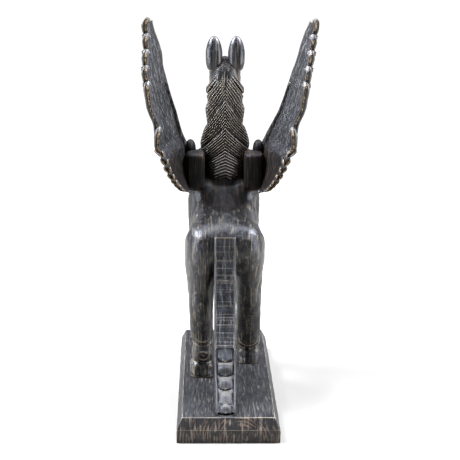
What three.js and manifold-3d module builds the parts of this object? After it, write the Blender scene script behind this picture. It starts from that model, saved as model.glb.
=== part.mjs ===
// Winged horse, carved in wood, ebonised and waxed, on a bevelled plinth.
// Millimetres, Z up. The origin is the middle of the plinth's underside.
// The horse looks along -Y, and its own left side is +X.
// It is five pieces of wood: plinth, horse, two wings let on to the shoulders, and the tail.
import * as THREE from 'three';
import { mergeVertices } from 'three/addons/utils/BufferGeometryUtils.js';
import Module from 'manifold-3d';

const wasm = await Module();
wasm.setup();

// Driving dimensions
const PLINTH_WIDE = 250;
const PLINTH_LONG = 780;
const PLINTH_HIGH = 60;
const PLINTH_BAND = 32;
const PLINTH_BEVEL = 13;
const JOINT_GAP = 0.3;
const HORSE_X = 5;
const NECK_X = 3;
const FLOOR = PLINTH_HIGH + JOINT_GAP;

const WITHERS = 540;
const LEFT_FORE_Y = -312;
const RIGHT_FORE_Y = -222;
const LEG_SIDES = 10;
const LEG_SQUARE = 2.2;
const POLL = 868;
const MANE_TOP = 860;
const MANE_BOTTOM = 545;
const STRAND_PITCH = 15;
const STRAND_DEEP = 1.5;

const EAR_APART = 30.5;
const EAR_WIDE = 46;
const EAR_FOOT = 838;
const EAR_TIP = 933;

const TAIL_X = 6;
const TAIL_WIDE = 55;
const TAIL_THICK = 44;
const TAIL_TOP = 444;
const LOCK_ENDS = [0.655, 0.735, 0.82, 0.925, 0.985];

const WING_TIP = 995;
const WING_THICK = 9;
const FEATHER_WIDE = 43;
const TIP_LEAN = 12;
const WING_TURN = 7;

// A value that follows a few named heights in straight runs.
function follow(height, heights, values) {
  let i = 0;
  while (i < heights.length - 2 && height > heights[i + 1]) {
    i += 1;
  }
  const share = THREE.MathUtils.clamp((height - heights[i]) / (heights[i + 1] - heights[i]), 0, 1);
  return THREE.MathUtils.lerp(values[i], values[i + 1], share);
}

// A closed solid from a three.js geometry, with its faces turned outwards.
function solidOf(geometry) {
  const bare = geometry.clone();
  bare.deleteAttribute('normal');
  bare.deleteAttribute('uv');
  const merged = mergeVertices(bare, 1e-4);
  const points = merged.attributes.position;
  const corners = Uint32Array.from(merged.index.array);
  const [a, b, c] = [new THREE.Vector3(), new THREE.Vector3(), new THREE.Vector3()];
  let volume = 0;
  for (let i = 0; i < corners.length; i += 3) {
    a.fromBufferAttribute(points, corners[i]);
    b.fromBufferAttribute(points, corners[i + 1]);
    c.fromBufferAttribute(points, corners[i + 2]);
    volume += a.dot(b.cross(c));
  }
  if (volume < 0) {
    for (let i = 0; i < corners.length; i += 3) {
      [corners[i], corners[i + 1]] = [corners[i + 1], corners[i]];
    }
  }
  const vertProperties = Float32Array.from(points.array);
  return new wasm.Manifold(new wasm.Mesh({ numProp: 3, vertProperties, triVerts: corners }));
}

// A solid skinned over rings that all have the same number of points, closed at both ends.
function loft(rings) {
  const around = rings[0].length;
  const points = rings.flat();
  const faces = [];
  for (let row = 0; row < rings.length - 1; row += 1) {
    for (let i = 0; i < around; i += 1) {
      const a = row * around + i;
      const b = row * around + ((i + 1) % around);
      faces.push(a, b, b + around, a, b + around, a + around);
    }
  }
  for (const [first, turn] of [[0, 1], [(rings.length - 1) * around, 0]]) {
    const middle = new THREE.Vector3();
    for (let i = 0; i < around; i += 1) {
      middle.addScaledVector(points[first + i], 1 / around);
    }
    points.push(middle);
    for (let i = 0; i < around; i += 1) {
      const next = first + ((i + 1) % around);
      faces.push(points.length - 1, turn ? next : first + i, turn ? first + i : next);
    }
  }
  const geometry = new THREE.BufferGeometry().setFromPoints(points);
  geometry.setIndex(faces);
  return solidOf(geometry);
}

function joinAll(solids) {
  return solids.reduce((whole, solid) => whole.add(solid));
}

// A rounded section: square 2 is an ellipse, and more than 2 fills out its corners.
function section(centre, across, up, wide, high, square, around) {
  const ring = [];
  for (let i = 0; i < around; i += 1) {
    const angle = ((i + 0.5) / around) * Math.PI * 2;
    const bow = (value) => Math.sign(value) * Math.abs(value) ** (2 / square);
    const point = centre.clone();
    point.addScaledVector(across, wide * bow(Math.cos(angle)));
    point.addScaledVector(up, high * bow(Math.sin(angle)));
    ring.push(point);
  }
  return ring;
}

const ALONG_X = new THREE.Vector3(1, 0, 0);
const ALONG_Y = new THREE.Vector3(0, 1, 0);
const ALONG_Z = new THREE.Vector3(0, 0, 1);

// A limb of level sections: x from the horse's middle, y and z its centre, wide and deep
// half its size across and along the horse.
function limb(stations, around, square, grow) {
  const rings = stations.map((at) => {
    const centre = new THREE.Vector3(HORSE_X + at.x, at.y, at.z);
    return section(centre, ALONG_X, ALONG_Y, at.wide + grow, at.deep + grow, square, around);
  });
  return loft(rings);
}

// Plinth: one thick board with a square band below and a bevel all round above.
function plinth() {
  const rings = [[0, 0], [PLINTH_BAND, 0], [PLINTH_HIGH, PLINTH_BEVEL]].map(([z, inset]) => {
    const x = PLINTH_WIDE / 2 - inset;
    const y = PLINTH_LONG / 2 - inset;
    return [[x, y], [-x, y], [-x, -y], [x, -y]].map(([px, py]) => new THREE.Vector3(px, py, z));
  });
  return loft(rings);
}

// Trunk: upright sections from the chest to the rump, between its belly and back lines.
function trunk(grow) {
  const stations = [
    { y: -324, wide: 30, low: 412, high: 500 },
    { y: -312, wide: 60, low: 366, high: 540 },
    { y: -272, wide: 84, low: 334, high: 562 },
    { y: -210, wide: 90, low: 316, high: 562 },
    { y: -150, wide: 91, low: 312, high: WITHERS },
    { y: -80, wide: 89, low: 316, high: 508 },
    { y: -10, wide: 91, low: 326, high: 486 },
    { y: 45, wide: 89, low: 338, high: 472 },
    { y: 82, wide: 73, low: 352, high: 455 },
    { y: 101, wide: 42, low: 376, high: 430 },
    { y: 106, wide: 20, low: 392, high: 414 },
  ];
  const rings = stations.map((at) => {
    const centre = new THREE.Vector3(HORSE_X, at.y, (at.low + at.high) / 2);
    return section(centre, ALONG_X, ALONG_Z, at.wide + grow, (at.high - at.low) / 2 + grow, 2.4, 14);
  });
  return loft(rings);
}

// Neck: upright and strong, flat behind under the mane.
function neck(grow) {
  const stations = [
    { z: 470, x: 0, y: -220, wide: 80, deep: 92 },
    { z: 540, x: 0, y: -230, wide: 78, deep: 96 },
    { z: 600, x: -1, y: -241, wide: 68, deep: 91 },
    { z: 660, x: -2, y: -241, wide: 53, deep: 81 },
    { z: 730, x: -2, y: -243, wide: 45, deep: 70 },
    { z: 790, x: -2, y: -248, wide: 43, deep: 63 },
    { z: 845, x: -2, y: -251, wide: 43, deep: 55 },
    { z: 864, x: -2, y: -252, wide: 34, deep: 44 },
    { z: POLL + 4, x: -2, y: -254, wide: 18, deep: 24 },
  ];
  return limb(stations, 12, 2.4, grow);
}

// Legs, from the hoof up through the haunch or the shoulder blade.
const HOOF_HIGH = 41;

function hoof(x, heel, toe, wide) {
  const rings = [[0, 1], [0.5, 0.97], [0.92, 0.9], [1, 0.84]].map(([share, size]) => {
    const back = THREE.MathUtils.lerp(heel, heel - 4, share);
    const front = THREE.MathUtils.lerp(toe, toe + 16, share);
    const centre = new THREE.Vector3(HORSE_X + x, (back + front) / 2, FLOOR + share * HOOF_HIGH);
    return section(centre, ALONG_X, ALONG_Y, wide * size, (back - front) / 2, 3, 10);
  });
  return loft(rings);
}

const LEFT_HIND = [
  { z: 92, x: 58, y: 36, wide: 24, deep: 27 },
  { z: 104, x: 58, y: 42, wide: 25, deep: 27 },
  { z: 125, x: 57, y: 48, wide: 29, deep: 32 },
  { z: 149, x: 57, y: 50, wide: 24, deep: 26 },
  { z: 180, x: 61, y: 56, wide: 30, deep: 30 },
  { z: 215, x: 61, y: 64, wide: 31, deep: 34 },
  { z: 250, x: 62, y: 64, wide: 32, deep: 41 },
  { z: 290, x: 62, y: 47, wide: 34, deep: 53 },
  { z: 335, x: 58, y: 32, wide: 43, deep: 71 },
  { z: 390, x: 54, y: 30, wide: 50, deep: 80 },
  { z: 435, x: 54, y: 29, wide: 49, deep: 74 },
  { z: 463, x: 53, y: 27, wide: 42, deep: 59 },
  { z: 476, x: 51, y: 24, wide: 29, deep: 40 },
  { z: 482, x: 49, y: 20, wide: 12, deep: 16 },
];
const RIGHT_HIND = [
  { z: 92, x: -66, y: -78, wide: 24, deep: 27 },
  { z: 102, x: -66, y: -72, wide: 26, deep: 27 },
  { z: 114, x: -66, y: -64, wide: 33, deep: 31 },
  { z: 140, x: -66, y: -55, wide: 34, deep: 29 },
  { z: 180, x: -65, y: -38, wide: 34, deep: 30 },
  { z: 215, x: -65, y: -22, wide: 34, deep: 34 },
  { z: 250, x: -64, y: -10, wide: 35, deep: 40 },
  { z: 290, x: -62, y: -10, wide: 36, deep: 52 },
  { z: 335, x: -58, y: 4, wide: 43, deep: 70 },
  { z: 390, x: -54, y: 24, wide: 50, deep: 80 },
  { z: 435, x: -54, y: 28, wide: 49, deep: 74 },
  { z: 463, x: -53, y: 27, wide: 42, deep: 59 },
  { z: 476, x: -51, y: 24, wide: 29, deep: 40 },
  { z: 482, x: -49, y: 20, wide: 12, deep: 16 },
];

// A foreleg: its hoof stands at footY, and the shoulder blade is the same on both sides.
function foreleg(side, footY, grow) {
  const kneeY = THREE.MathUtils.lerp(footY, -235, 0.35);
  const stations = [
    { z: 92, x: 66, y: footY + 2, wide: 21, deep: 24 },
    { z: 104, x: 66, y: footY + 8, wide: 21, deep: 24 },
    { z: 124, x: 66, y: footY + 12, wide: 25, deep: 28 },
    { z: 148, x: 66, y: footY + 12, wide: 20, deep: 22 },
    { z: 200, x: 66, y: kneeY + 2, wide: 21, deep: 23 },
    { z: 236, x: 65, y: kneeY - 4, wide: 26, deep: 28 },
    { z: 262, x: 64, y: kneeY, wide: 25, deep: 27 },
    { z: 310, x: 61, y: -226, wide: 30, deep: 38 },
    { z: 370, x: 57, y: -214, wide: 38, deep: 54 },
    { z: 440, x: 54, y: -200, wide: 45, deep: 68 },
    { z: 500, x: 53, y: -184, wide: 46, deep: 66 },
    { z: 535, x: 51, y: -176, wide: 38, deep: 52 },
    { z: 552, x: 48, y: -172, wide: 18, deep: 26 },
  ].map((at) => ({ ...at, x: at.x * side }));
  return limb(stations, LEG_SIDES, LEG_SQUARE, grow);
}

function legs(grow) {
  return [
    limb(LEFT_HIND, LEG_SIDES, LEG_SQUARE, grow),
    limb(RIGHT_HIND, LEG_SIDES, LEG_SQUARE, grow),
    foreleg(1, LEFT_FORE_Y, grow),
    foreleg(-1, RIGHT_FORE_Y, grow),
  ];
}

// Head: drawn in towards the chest, with a long straight face.
const HEAD_TOP = new THREE.Vector3(NECK_X, -246, 838);
const HEAD_END = new THREE.Vector3(NECK_X, -364, 688);

function onHead(along, across, up) {
  const line = HEAD_END.clone().sub(HEAD_TOP);
  const brow = new THREE.Vector3(0, -line.z, line.y).normalize().multiplyScalar(-1);
  return HEAD_TOP.clone().addScaledVector(line, along).addScaledVector(brow, up).setX(NECK_X + across);
}

function head() {
  const stations = [
    { along: -0.16, wide: 24, high: 26, up: 2 },
    { along: -0.04, wide: 37, high: 45, up: -3 },
    { along: 0.12, wide: 43, high: 58, up: -9 },
    { along: 0.3, wide: 42, high: 58, up: -10 },
    { along: 0.5, wide: 35, high: 45, up: -4 },
    { along: 0.7, wide: 29, high: 34, up: 0 },
    { along: 0.88, wide: 29, high: 32, up: -1 },
    { along: 0.98, wide: 25, high: 26, up: -3 },
    { along: 1.04, wide: 12, high: 13, up: -4 },
  ];
  const brow = onHead(0, 0, 1).sub(HEAD_TOP);
  const rings = stations.map((at) =>
    section(onHead(at.along, 0, at.up), ALONG_X, brow, at.wide, at.high, 2.3, 12));
  let solid = loft(rings);
  for (const side of [-1, 1]) {
    solid = solid.add(egg(onHead(0.34, 32 * side, 20), 8, 11, 8));
    solid = solid.subtract(egg(onHead(0.93, 25 * side, 10), 7, 6, 5));
  }
  const lips = new THREE.BoxGeometry(80, 46, 2.4);
  lips.rotateX(Math.atan2(HEAD_TOP.z - HEAD_END.z, HEAD_TOP.y - HEAD_END.y));
  const mouth = onHead(1, 0, -13);
  lips.translate(mouth.x, mouth.y, mouth.z);
  return solid.subtract(solidOf(lips));
}

// A small rounded boss or hollow, half its size given along each axis.
function egg(centre, x, y, z) {
  const geometry = new THREE.SphereGeometry(1, 8, 6);
  geometry.scale(x, y, z);
  geometry.translate(centre.x, centre.y, centre.z);
  return solidOf(geometry);
}

// Ears: smooth upright shells, hollowed in front.
function ear(side) {
  const high = EAR_TIP - EAR_FOOT;
  const x = side * EAR_APART;
  const outside = [[0, 0.5, 0.5], [0.08, 0.8, 0.8], [0.3, 0.98, 1], [0.5, 1, 1], [0.72, 0.86, 0.86],
    [0.88, 0.6, 0.6], [0.97, 0.3, 0.3], [1, 0.1, 0.1]];
  const rings = outside.map(([share, wide, deep]) => {
    const centre = new THREE.Vector3(NECK_X + x, -220 - 6 * share, EAR_FOOT + high * share);
    return section(centre, ALONG_X, ALONG_Y, (wide * EAR_WIDE) / 2, deep * 20, 2.2, 10);
  });
  const hollow = egg(new THREE.Vector3(NECK_X + x, -245, EAR_FOOT + high * 0.55), 13, 14, 32);
  return loft(rings).subtract(hollow);
}

// The mane's surface at a height: its half width, and how far back its middle lies.
function maneWide(z) {
  const heights = [545, 575, 610, 640, 672, 704, 735, 757, 775, 815, 860];
  return follow(z, heights, [26, 46, 62, 67, 59, 50, 52, 46, 51, 51, 46]);
}

function maneBack(z) {
  return follow(z, [545, 580, 620, 680, 757, 815, 860], [-132, -141, -150, -160, -177, -190, -204]);
}

// How far a strand drops from the ridge to the side of the neck.
function strandDrop(z) {
  return follow(z, [545, 600, 700, 820, 840, 860], [10, 26, 50, 52, 36, 8]);
}

// Mane: herringbone strands on the back of the neck, every second line of them raised.
function mane() {
  const rows = Math.round(((MANE_TOP - MANE_BOTTOM) / STRAND_PITCH) * 2);
  const rings = [];
  for (let row = 0; row <= rows; row += 1) {
    const z = MANE_TOP - ((MANE_TOP - MANE_BOTTOM) * row) / rows;
    const raised = (row % 2 ? -1 : 1) * STRAND_DEEP / 2;
    const ring = [];
    for (let i = -4; i <= 4; i += 1) {
      const share = i / 4;
      const low = z - strandDrop(z) * Math.abs(share);
      const turn = share * 1.45;
      const x = NECK_X + (maneWide(low) + raised) * Math.sin(turn);
      const y = maneBack(low) + raised - 44 * (1 - Math.cos(turn)) + 2.5 * (1 - Math.abs(share));
      ring.push(new THREE.Vector3(x, y, low));
    }
    for (const share of [0.55, -0.55]) {
      const low = z - strandDrop(z) * Math.abs(share);
      ring.push(new THREE.Vector3(NECK_X + share * 40, maneBack(low) - 52, low));
    }
    rings.push(ring);
  }
  return loft(rings);
}

function horse() {
  const hooves = [
    hoof(59, 76, -10, 32),
    hoof(-66.5, -45, -126, 28.5),
    hoof(66, LEFT_FORE_Y + 38, LEFT_FORE_Y - 40, 27),
    hoof(-66, RIGHT_FORE_Y + 38, RIGHT_FORE_Y - 40, 27),
  ];
  return joinAll([trunk(0), neck(0), ...legs(0), ...hooves, head(), ear(1), ear(-1), mane()]);
}

// The horse's body let into its neighbours, with the joint gap all round.
function bodyRoom() {
  return joinAll([trunk(JOINT_GAP), neck(JOINT_GAP), ...legs(JOINT_GAP)]);
}

// One feather or lock: a thin tongue, ridged down its middle, with a rounded end. place(across,
// along, depth) sets it on a surface, from one point of it to another. point is the length of
// the rounded end against the width, and rise is how far the end lifts off what lies below.
function tongue({ from, to, wide, thick, foot, narrow, point = 0.55, rise = 0, place }) {
  const length = Math.hypot(to[0] - from[0], to[1] - from[1]);
  const line = [(to[0] - from[0]) / length, (to[1] - from[1]) / length];
  const end = Math.min(0.8, (point * wide) / length);
  const stations = [[0, narrow], [(1 - end) / 2, 1], [1 - end, 1], [1 - end * 0.35, 0.74], [1, 0.24]];
  const rings = stations.map(([along, size]) => {
    const middle = [from[0] + line[0] * along * length, from[1] + line[1] * along * length];
    const low = foot - rise * (1 - along);
    return [[-1, 0], [-1, 0.55], [0, 1], [1, 0.55], [1, 0]].map(([side, up]) => {
      const out = (side * size * wide) / 2;
      return place(middle[0] - line[1] * out, middle[1] + line[0] * out, low + up * thick);
    });
  });
  return loft(rings);
}

// Wing. y and z give a place on its inner face, and depth goes outwards from there.
function leadingY(z) {
  const heights = [529, 600, 650, 700, 757, 824, 890, 955, 982, 995];
  return follow(z, heights, [-188, -188, -180, -160, -118, -62, -6, 47, 70, 90]);
}

function trailingY(z) {
  const heights = [529, 556, 605, 640, 672, 715, 757, 800, 838, 880, 957, 995];
  return follow(z, heights, [-34, -8, 28, 50, 64, 78, 92, 104, 111, 113, 110, 103]);
}

// How far the inner face stands out from the horse's middle, at the two edges.
const WING_HEIGHTS = [529, 545, 570, 605, 640, 672, 715, 757, 800, 838, 880, 915, 957, 995];
const LEAD_OUT = [80, 83, 87, 94, 101, 114, 130, 142, 152, 160, 170, 180, 192, 203];
const TRAIL_OUT = [96, 114, 131, 146, 157, 175, 175, 190, 200, 207, 213, 216, 219, 210];

// The left wing is turned a little more than the right, and its tip leans in.
function wingPlace(side) {
  return (y, z, depth) => {
    const lead = leadingY(z);
    const turn = side * WING_TURN * follow(z, [680, 740, 900, 960], [0, 1, 1, 0]);
    const leadOut = follow(z, WING_HEIGHTS, LEAD_OUT) - turn;
    const share = (y - lead) / (trailingY(z) - lead);
    const lean = side * TIP_LEAN * THREE.MathUtils.clamp((z - 860) / 135, 0, 1.1);
    const out = leadOut + (follow(z, WING_HEIGHTS, TRAIL_OUT) - leadOut) * share + depth - lean;
    return new THREE.Vector3(HORSE_X + side * out, y, z);
  };
}

function wing(side) {
  const place = wingPlace(side);
  const pieces = [];

  // The board: its inner face is smooth, and it stops short of the feather tips.
  const slices = [534, 556, 600, 650, 700, 757, 800, 840, 890, 950];
  pieces.push(loft(slices.map((z) => {
    const front = leadingY(z) + 2;
    const back = trailingY(z) - follow(z, [534, 600, 757, 950], [14, 26, 26, 40]);
    return [[0, 1], [0.5, -1], [1, -0.5], [1, 7], [0.5, 10], [0, 9]].map(([share, depth]) =>
      place(THREE.MathUtils.lerp(front, back, share), z, depth));
  })));

  // Five long feathers, whose rounded tips step down the trailing edge.
  [WING_TIP, 958, 919, 880, 841].forEach((tip, i) => {
    const lean = THREE.MathUtils.degToRad(40 - 3.5 * i);
    const wide = i ? FEATHER_WIDE : FEATHER_WIDE * 0.75;
    const point = i ? 0.55 : 1;
    const y = trailingY(tip) - (i ? wide * 0.42 : 5);
    const length = 190 - 6 * i;
    const from = [y - Math.sin(lean) * length, tip - Math.cos(lean) * length];
    const foot = 0.3 * i;
    pieces.push(tongue({ from, to: [y, tip], wide, thick: WING_THICK, foot, narrow: 0.5, point, place }));
  });

  // One broader feather below them.
  pieces.push(tongue({ from: [-30, 572], to: [60, 722], wide: 52, thick: 11, foot: 0.5, narrow: 0.5, place }));

  // Short thick feathers down to the shoulder, each lying flatter than the last.
  for (let i = 0; i < 7; i += 1) {
    const tip = follow(i, [0, 4, 6], [660, 580, 551]);
    const lean = THREE.MathUtils.degToRad(36 + 5 * i);
    const y = trailingY(tip) - 6;
    const from = [y - Math.sin(lean) * 70, tip - Math.cos(lean) * 70];
    const foot = 0.4 * i - 1;
    pieces.push(tongue({ from, to: [y, tip], wide: 29 - 1.5 * i, thick: 15, foot, narrow: 0.7, place }));
  }

  // Coverts on the outer face, in two overlapping rows.
  for (let i = 0; i < 4; i += 1) {
    const tip = 898 - 62 * i;
    const lean = THREE.MathUtils.degToRad(40 - 2.5 * i);
    const y = THREE.MathUtils.lerp(leadingY(tip), trailingY(tip), 0.52);
    const from = [y - Math.sin(lean) * 96, tip - Math.cos(lean) * 96];
    pieces.push(tongue({ from, to: [y, tip], wide: 56, thick: 9, foot: 6, narrow: 0.6, place }));
  }
  for (let i = 0; i < 4; i += 1) {
    const tip = 804 - 54 * i;
    const lean = THREE.MathUtils.degToRad(38 + 2.5 * i);
    const y = THREE.MathUtils.lerp(leadingY(tip), trailingY(tip), 0.32);
    const from = [y - Math.sin(lean) * 66, tip - Math.cos(lean) * 66];
    pieces.push(tongue({ from, to: [y, tip], wide: 52, thick: 12, foot: 7, narrow: 0.6, place }));
  }

  // The arm along the leading edge, and the squared root that seats on the shoulder.
  const arm = [[600, 0.9], [638, 1], [656, 0.9], [700, 0.85], [757, 0.75], [800, 0.62], [818, 0.3]];
  pieces.push(loft(arm.map(([z, size]) =>
    section(place(leadingY(z) + 13, z, 7), ALONG_X, ALONG_Y, 11 * size, 17 * size, 2.4, 8))));
  const root = [[524, 0.7], [532, 1], [600, 1], [626, 0.96], [631, 0.8]];
  pieces.push(loft(root.map(([z, size]) => {
    const centre = new THREE.Vector3(HORSE_X + side * 83, -142, z);
    return section(centre, ALONG_X, ALONG_Y, 21 * size, 48 * size, 5, 8);
  })));
  return joinAll(pieces);
}

// Tail: a squared beam that leaves the rump and sweeps down to the back of the plinth. share
// runs down its rear face, and depth goes out from that face.
const TAIL_LINE = new THREE.CatmullRomCurve3([
  [106, TAIL_TOP], [113, 400], [128, 340], [150, 280], [176, 226],
  [212, 171], [254, 126], [304, 94], [346, 74], [369, 63],
].map(([y, z]) => new THREE.Vector3(TAIL_X, y, z)));

const TAIL_RUN = TAIL_LINE.getLength();

function tailPlace(across, share, depth) {
  const at = TAIL_LINE.getPointAt(THREE.MathUtils.clamp(share, 0, 1));
  const down = TAIL_LINE.getTangentAt(THREE.MathUtils.clamp(share, 0, 1));
  const out = new THREE.Vector3(0, -down.z, down.y);
  return at.addScaledVector(out, depth).setX(TAIL_X + across);
}

function tail() {
  const half = TAIL_WIDE / 2;
  const rings = [];
  for (let step = 0; step <= 11; step += 1) {
    const share = (step / 11) * 0.97;
    const lower = Math.max(0, share - 0.6);
    const thick = TAIL_THICK - 14 * lower;
    const face = lower > 0 ? -5 : 0;
    const outline = [[-1, -5], [-0.84, face], [0.84, face], [1, -5], [1, -thick], [-1, -thick]];
    rings.push(outline.map(([side, depth]) => tailPlace(side * half * (1 - 0.3 * lower), share, depth)));
  }
  const laid = (across, along, depth) => tailPlace(across, along / TAIL_RUN, depth);
  const lock = { thick: 10, foot: -4, narrow: 0.9, rise: 8, place: laid };
  const locks = LOCK_ENDS.map((end, i) => {
    const start = (i ? LOCK_ENDS[i - 1] : 0.52) - 0.03;
    return tongue({ ...lock, from: [0, start * TAIL_RUN], to: [0, end * TAIL_RUN], wide: 47 - 3.5 * i });
  });
  const bands = [-1, 1].map((side) => tongue({
    ...lock, from: [23.5 * side, 0.58 * TAIL_RUN], to: [21.5 * side, TAIL_RUN], wide: 9, rise: 0, point: 2,
  }));
  const floor = new THREE.BoxGeometry(200, 500, 100);
  floor.translate(TAIL_X, 250, FLOOR - 50);
  return joinAll([loft(rings), ...locks, ...bands]).subtract(solidOf(floor));
}

// Finish: ebonised and waxed wood, worn paler on the plinth's edges.
function piece(name, solid, colour, roughness) {
  const { vertProperties, triVerts } = solid.getMesh();
  const geometry = new THREE.BufferGeometry();
  geometry.setAttribute('position', new THREE.BufferAttribute(vertProperties, 3));
  geometry.setIndex(new THREE.BufferAttribute(triVerts, 1));
  geometry.computeVertexNormals();
  const material = new THREE.MeshStandardMaterial({ color: colour, roughness, metalness: 0, flatShading: true });
  const mesh = new THREE.Mesh(geometry, material);
  mesh.name = name;
  return mesh;
}

const room = bodyRoom();
const wingedHorse = new THREE.Group();
wingedHorse.add(piece('plinth', plinth(), 0x4a4b52, 0.45));
wingedHorse.add(piece('horse', horse(), 0x3b3c43, 0.42));
wingedHorse.add(piece('wing_left', wing(1).subtract(room), 0x3f4047, 0.45));
wingedHorse.add(piece('wing_right', wing(-1).subtract(room), 0x3f4047, 0.45));
wingedHorse.add(piece('tail', tail().subtract(room), 0x41434b, 0.45));

export default wingedHorse;
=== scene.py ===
# Winged horse, carved in wood and stood on a bevelled plinth. The carving is ebonised: stained black, rubbed
# back along the grain until the pale ground shows, and waxed to a soft sheen.
# Sizes are millimetres unless a name says otherwise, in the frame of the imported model: Z up, the horse looks
# along -Y, and its own left side is +X.
import math

import bmesh
import bpy
import numpy as np
from mathutils import Matrix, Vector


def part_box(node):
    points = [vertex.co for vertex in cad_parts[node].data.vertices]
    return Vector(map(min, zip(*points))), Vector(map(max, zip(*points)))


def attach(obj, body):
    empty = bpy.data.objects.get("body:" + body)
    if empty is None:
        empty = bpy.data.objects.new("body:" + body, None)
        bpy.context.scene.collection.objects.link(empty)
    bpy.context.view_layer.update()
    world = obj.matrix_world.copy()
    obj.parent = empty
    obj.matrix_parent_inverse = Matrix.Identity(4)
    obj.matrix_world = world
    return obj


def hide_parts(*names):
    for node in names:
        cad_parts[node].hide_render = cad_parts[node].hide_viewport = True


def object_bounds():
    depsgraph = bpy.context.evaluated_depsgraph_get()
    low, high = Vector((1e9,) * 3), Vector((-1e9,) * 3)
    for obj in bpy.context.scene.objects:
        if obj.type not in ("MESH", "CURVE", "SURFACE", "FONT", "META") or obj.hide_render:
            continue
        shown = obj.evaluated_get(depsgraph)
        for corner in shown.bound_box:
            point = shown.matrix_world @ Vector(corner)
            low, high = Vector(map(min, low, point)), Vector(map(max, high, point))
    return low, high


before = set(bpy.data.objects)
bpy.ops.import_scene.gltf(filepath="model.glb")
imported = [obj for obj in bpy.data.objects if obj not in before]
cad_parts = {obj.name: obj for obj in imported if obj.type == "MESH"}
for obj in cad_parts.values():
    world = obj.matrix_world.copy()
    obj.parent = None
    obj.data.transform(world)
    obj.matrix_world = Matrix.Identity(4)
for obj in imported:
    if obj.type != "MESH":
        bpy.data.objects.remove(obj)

cad_low, cad_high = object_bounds()
MM = 0.001


# Camera: it stands three metres behind the tail, a little above the ears, and looks down at the back.
# Its place, turn and lens come from the plinth's four edges in the photograph.
CAMERA_PLACE = (0.0638, 3.3264, 1.1372)
CAMERA_YAW, CAMERA_PITCH, CAMERA_ROLL = 1.2446, 11.817, 0.402
IMAGE_SIDE_PX = 460
FOCAL_PX = 1294.87
SENSOR_MM = 36


def place_camera():
    yaw, pitch, roll = (math.radians(a) for a in (CAMERA_YAW, CAMERA_PITCH, CAMERA_ROLL))
    ahead = np.array([-math.sin(yaw) * math.cos(pitch), -math.cos(yaw) * math.cos(pitch), -math.sin(pitch)])
    level = np.cross(ahead, [0, 0, 1])
    level /= np.linalg.norm(level)
    above = np.cross(level, ahead)
    across = level * math.cos(roll) + above * math.sin(roll)
    up = above * math.cos(roll) - level * math.sin(roll)
    data = bpy.data.cameras.new("camera")
    data.sensor_width = SENSOR_MM
    data.lens = SENSOR_MM * FOCAL_PX / IMAGE_SIDE_PX
    data.clip_end = 200
    camera = bpy.data.objects.new("camera", data)
    turned = np.eye(4)
    turned[:3, 0], turned[:3, 1], turned[:3, 2], turned[:3, 3] = across, up, -ahead, CAMERA_PLACE
    camera.matrix_world = Matrix(turned.tolist())
    bpy.context.scene.collection.objects.link(camera)
    bpy.context.scene.camera = camera


place_camera()


# Plinth: one thick sawn board of the same wood, planed, with a square band below and a bevel all round above.
# Its near end shows end grain. The edges are rubbed through, and it carries small knocks.
PLINTH_BAND = 32
PLINTH_BEVEL = 13
PLINTH_EDGE = 1.6
PLINTH_CELL = 4.6

# The finish: the stain, a painted sheen for the wax on it, the sawn end with its growth rings, old polish in
# the cuts, wood rubbed pale and in places painted pale as lit, places left dull and painted with shade, and
# the flecks of end grain. Then how wide its grain runs, in millimetres.
STAIN, PAINTED_WAX_SHEEN = "#060607", "#2b2e37"
SAWN_END, SAWN_LINE, GROWTH_RING = "#1d1a18", "#8a8074", "#665342"
CUT_BLACK, CUT_BROWN = "#080706", "#3b2818"
RUBBED_EDGE, WORN_AND_LIT_GROUND = "#978a74", "#8f8470"
DULL_AND_SHADE_BLACK, DULL_AND_SHADE_BROWN = "#030302", "#2a1d12"
FLECK_GROUND, FLECK_DARK, FLECK_PALE = "#0c0907", "#5f3f24", "#a58c63"
GRAIN, HAIR, PORE, PATCH, SHEEN_BAND, RING = 4.0, 2.4, 2.6, 24, 8.5, 7.5


def colour(code):
    """A colour as sRGB hex, turned to the linear values that a shader takes."""
    parts = [int(code[i:i + 2], 16) / 255 for i in (1, 3, 5)]
    return [p / 12.92 if p <= 0.04045 else ((p + 0.055) / 1.055) ** 2.4 for p in parts] + [1.0]


def add(tree, kind, sockets=None, **settings):
    """Adds a node. sockets gives each input, by name or number, a value or another node's output."""
    made = tree.nodes.new(kind)
    for name, value in settings.items():
        setattr(made, name, value)
    for name, value in (sockets or {}).items():
        if isinstance(value, bpy.types.NodeSocket):
            tree.links.new(value, made.inputs[name])
        else:
            made.inputs[name].default_value = value
    return made


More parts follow.
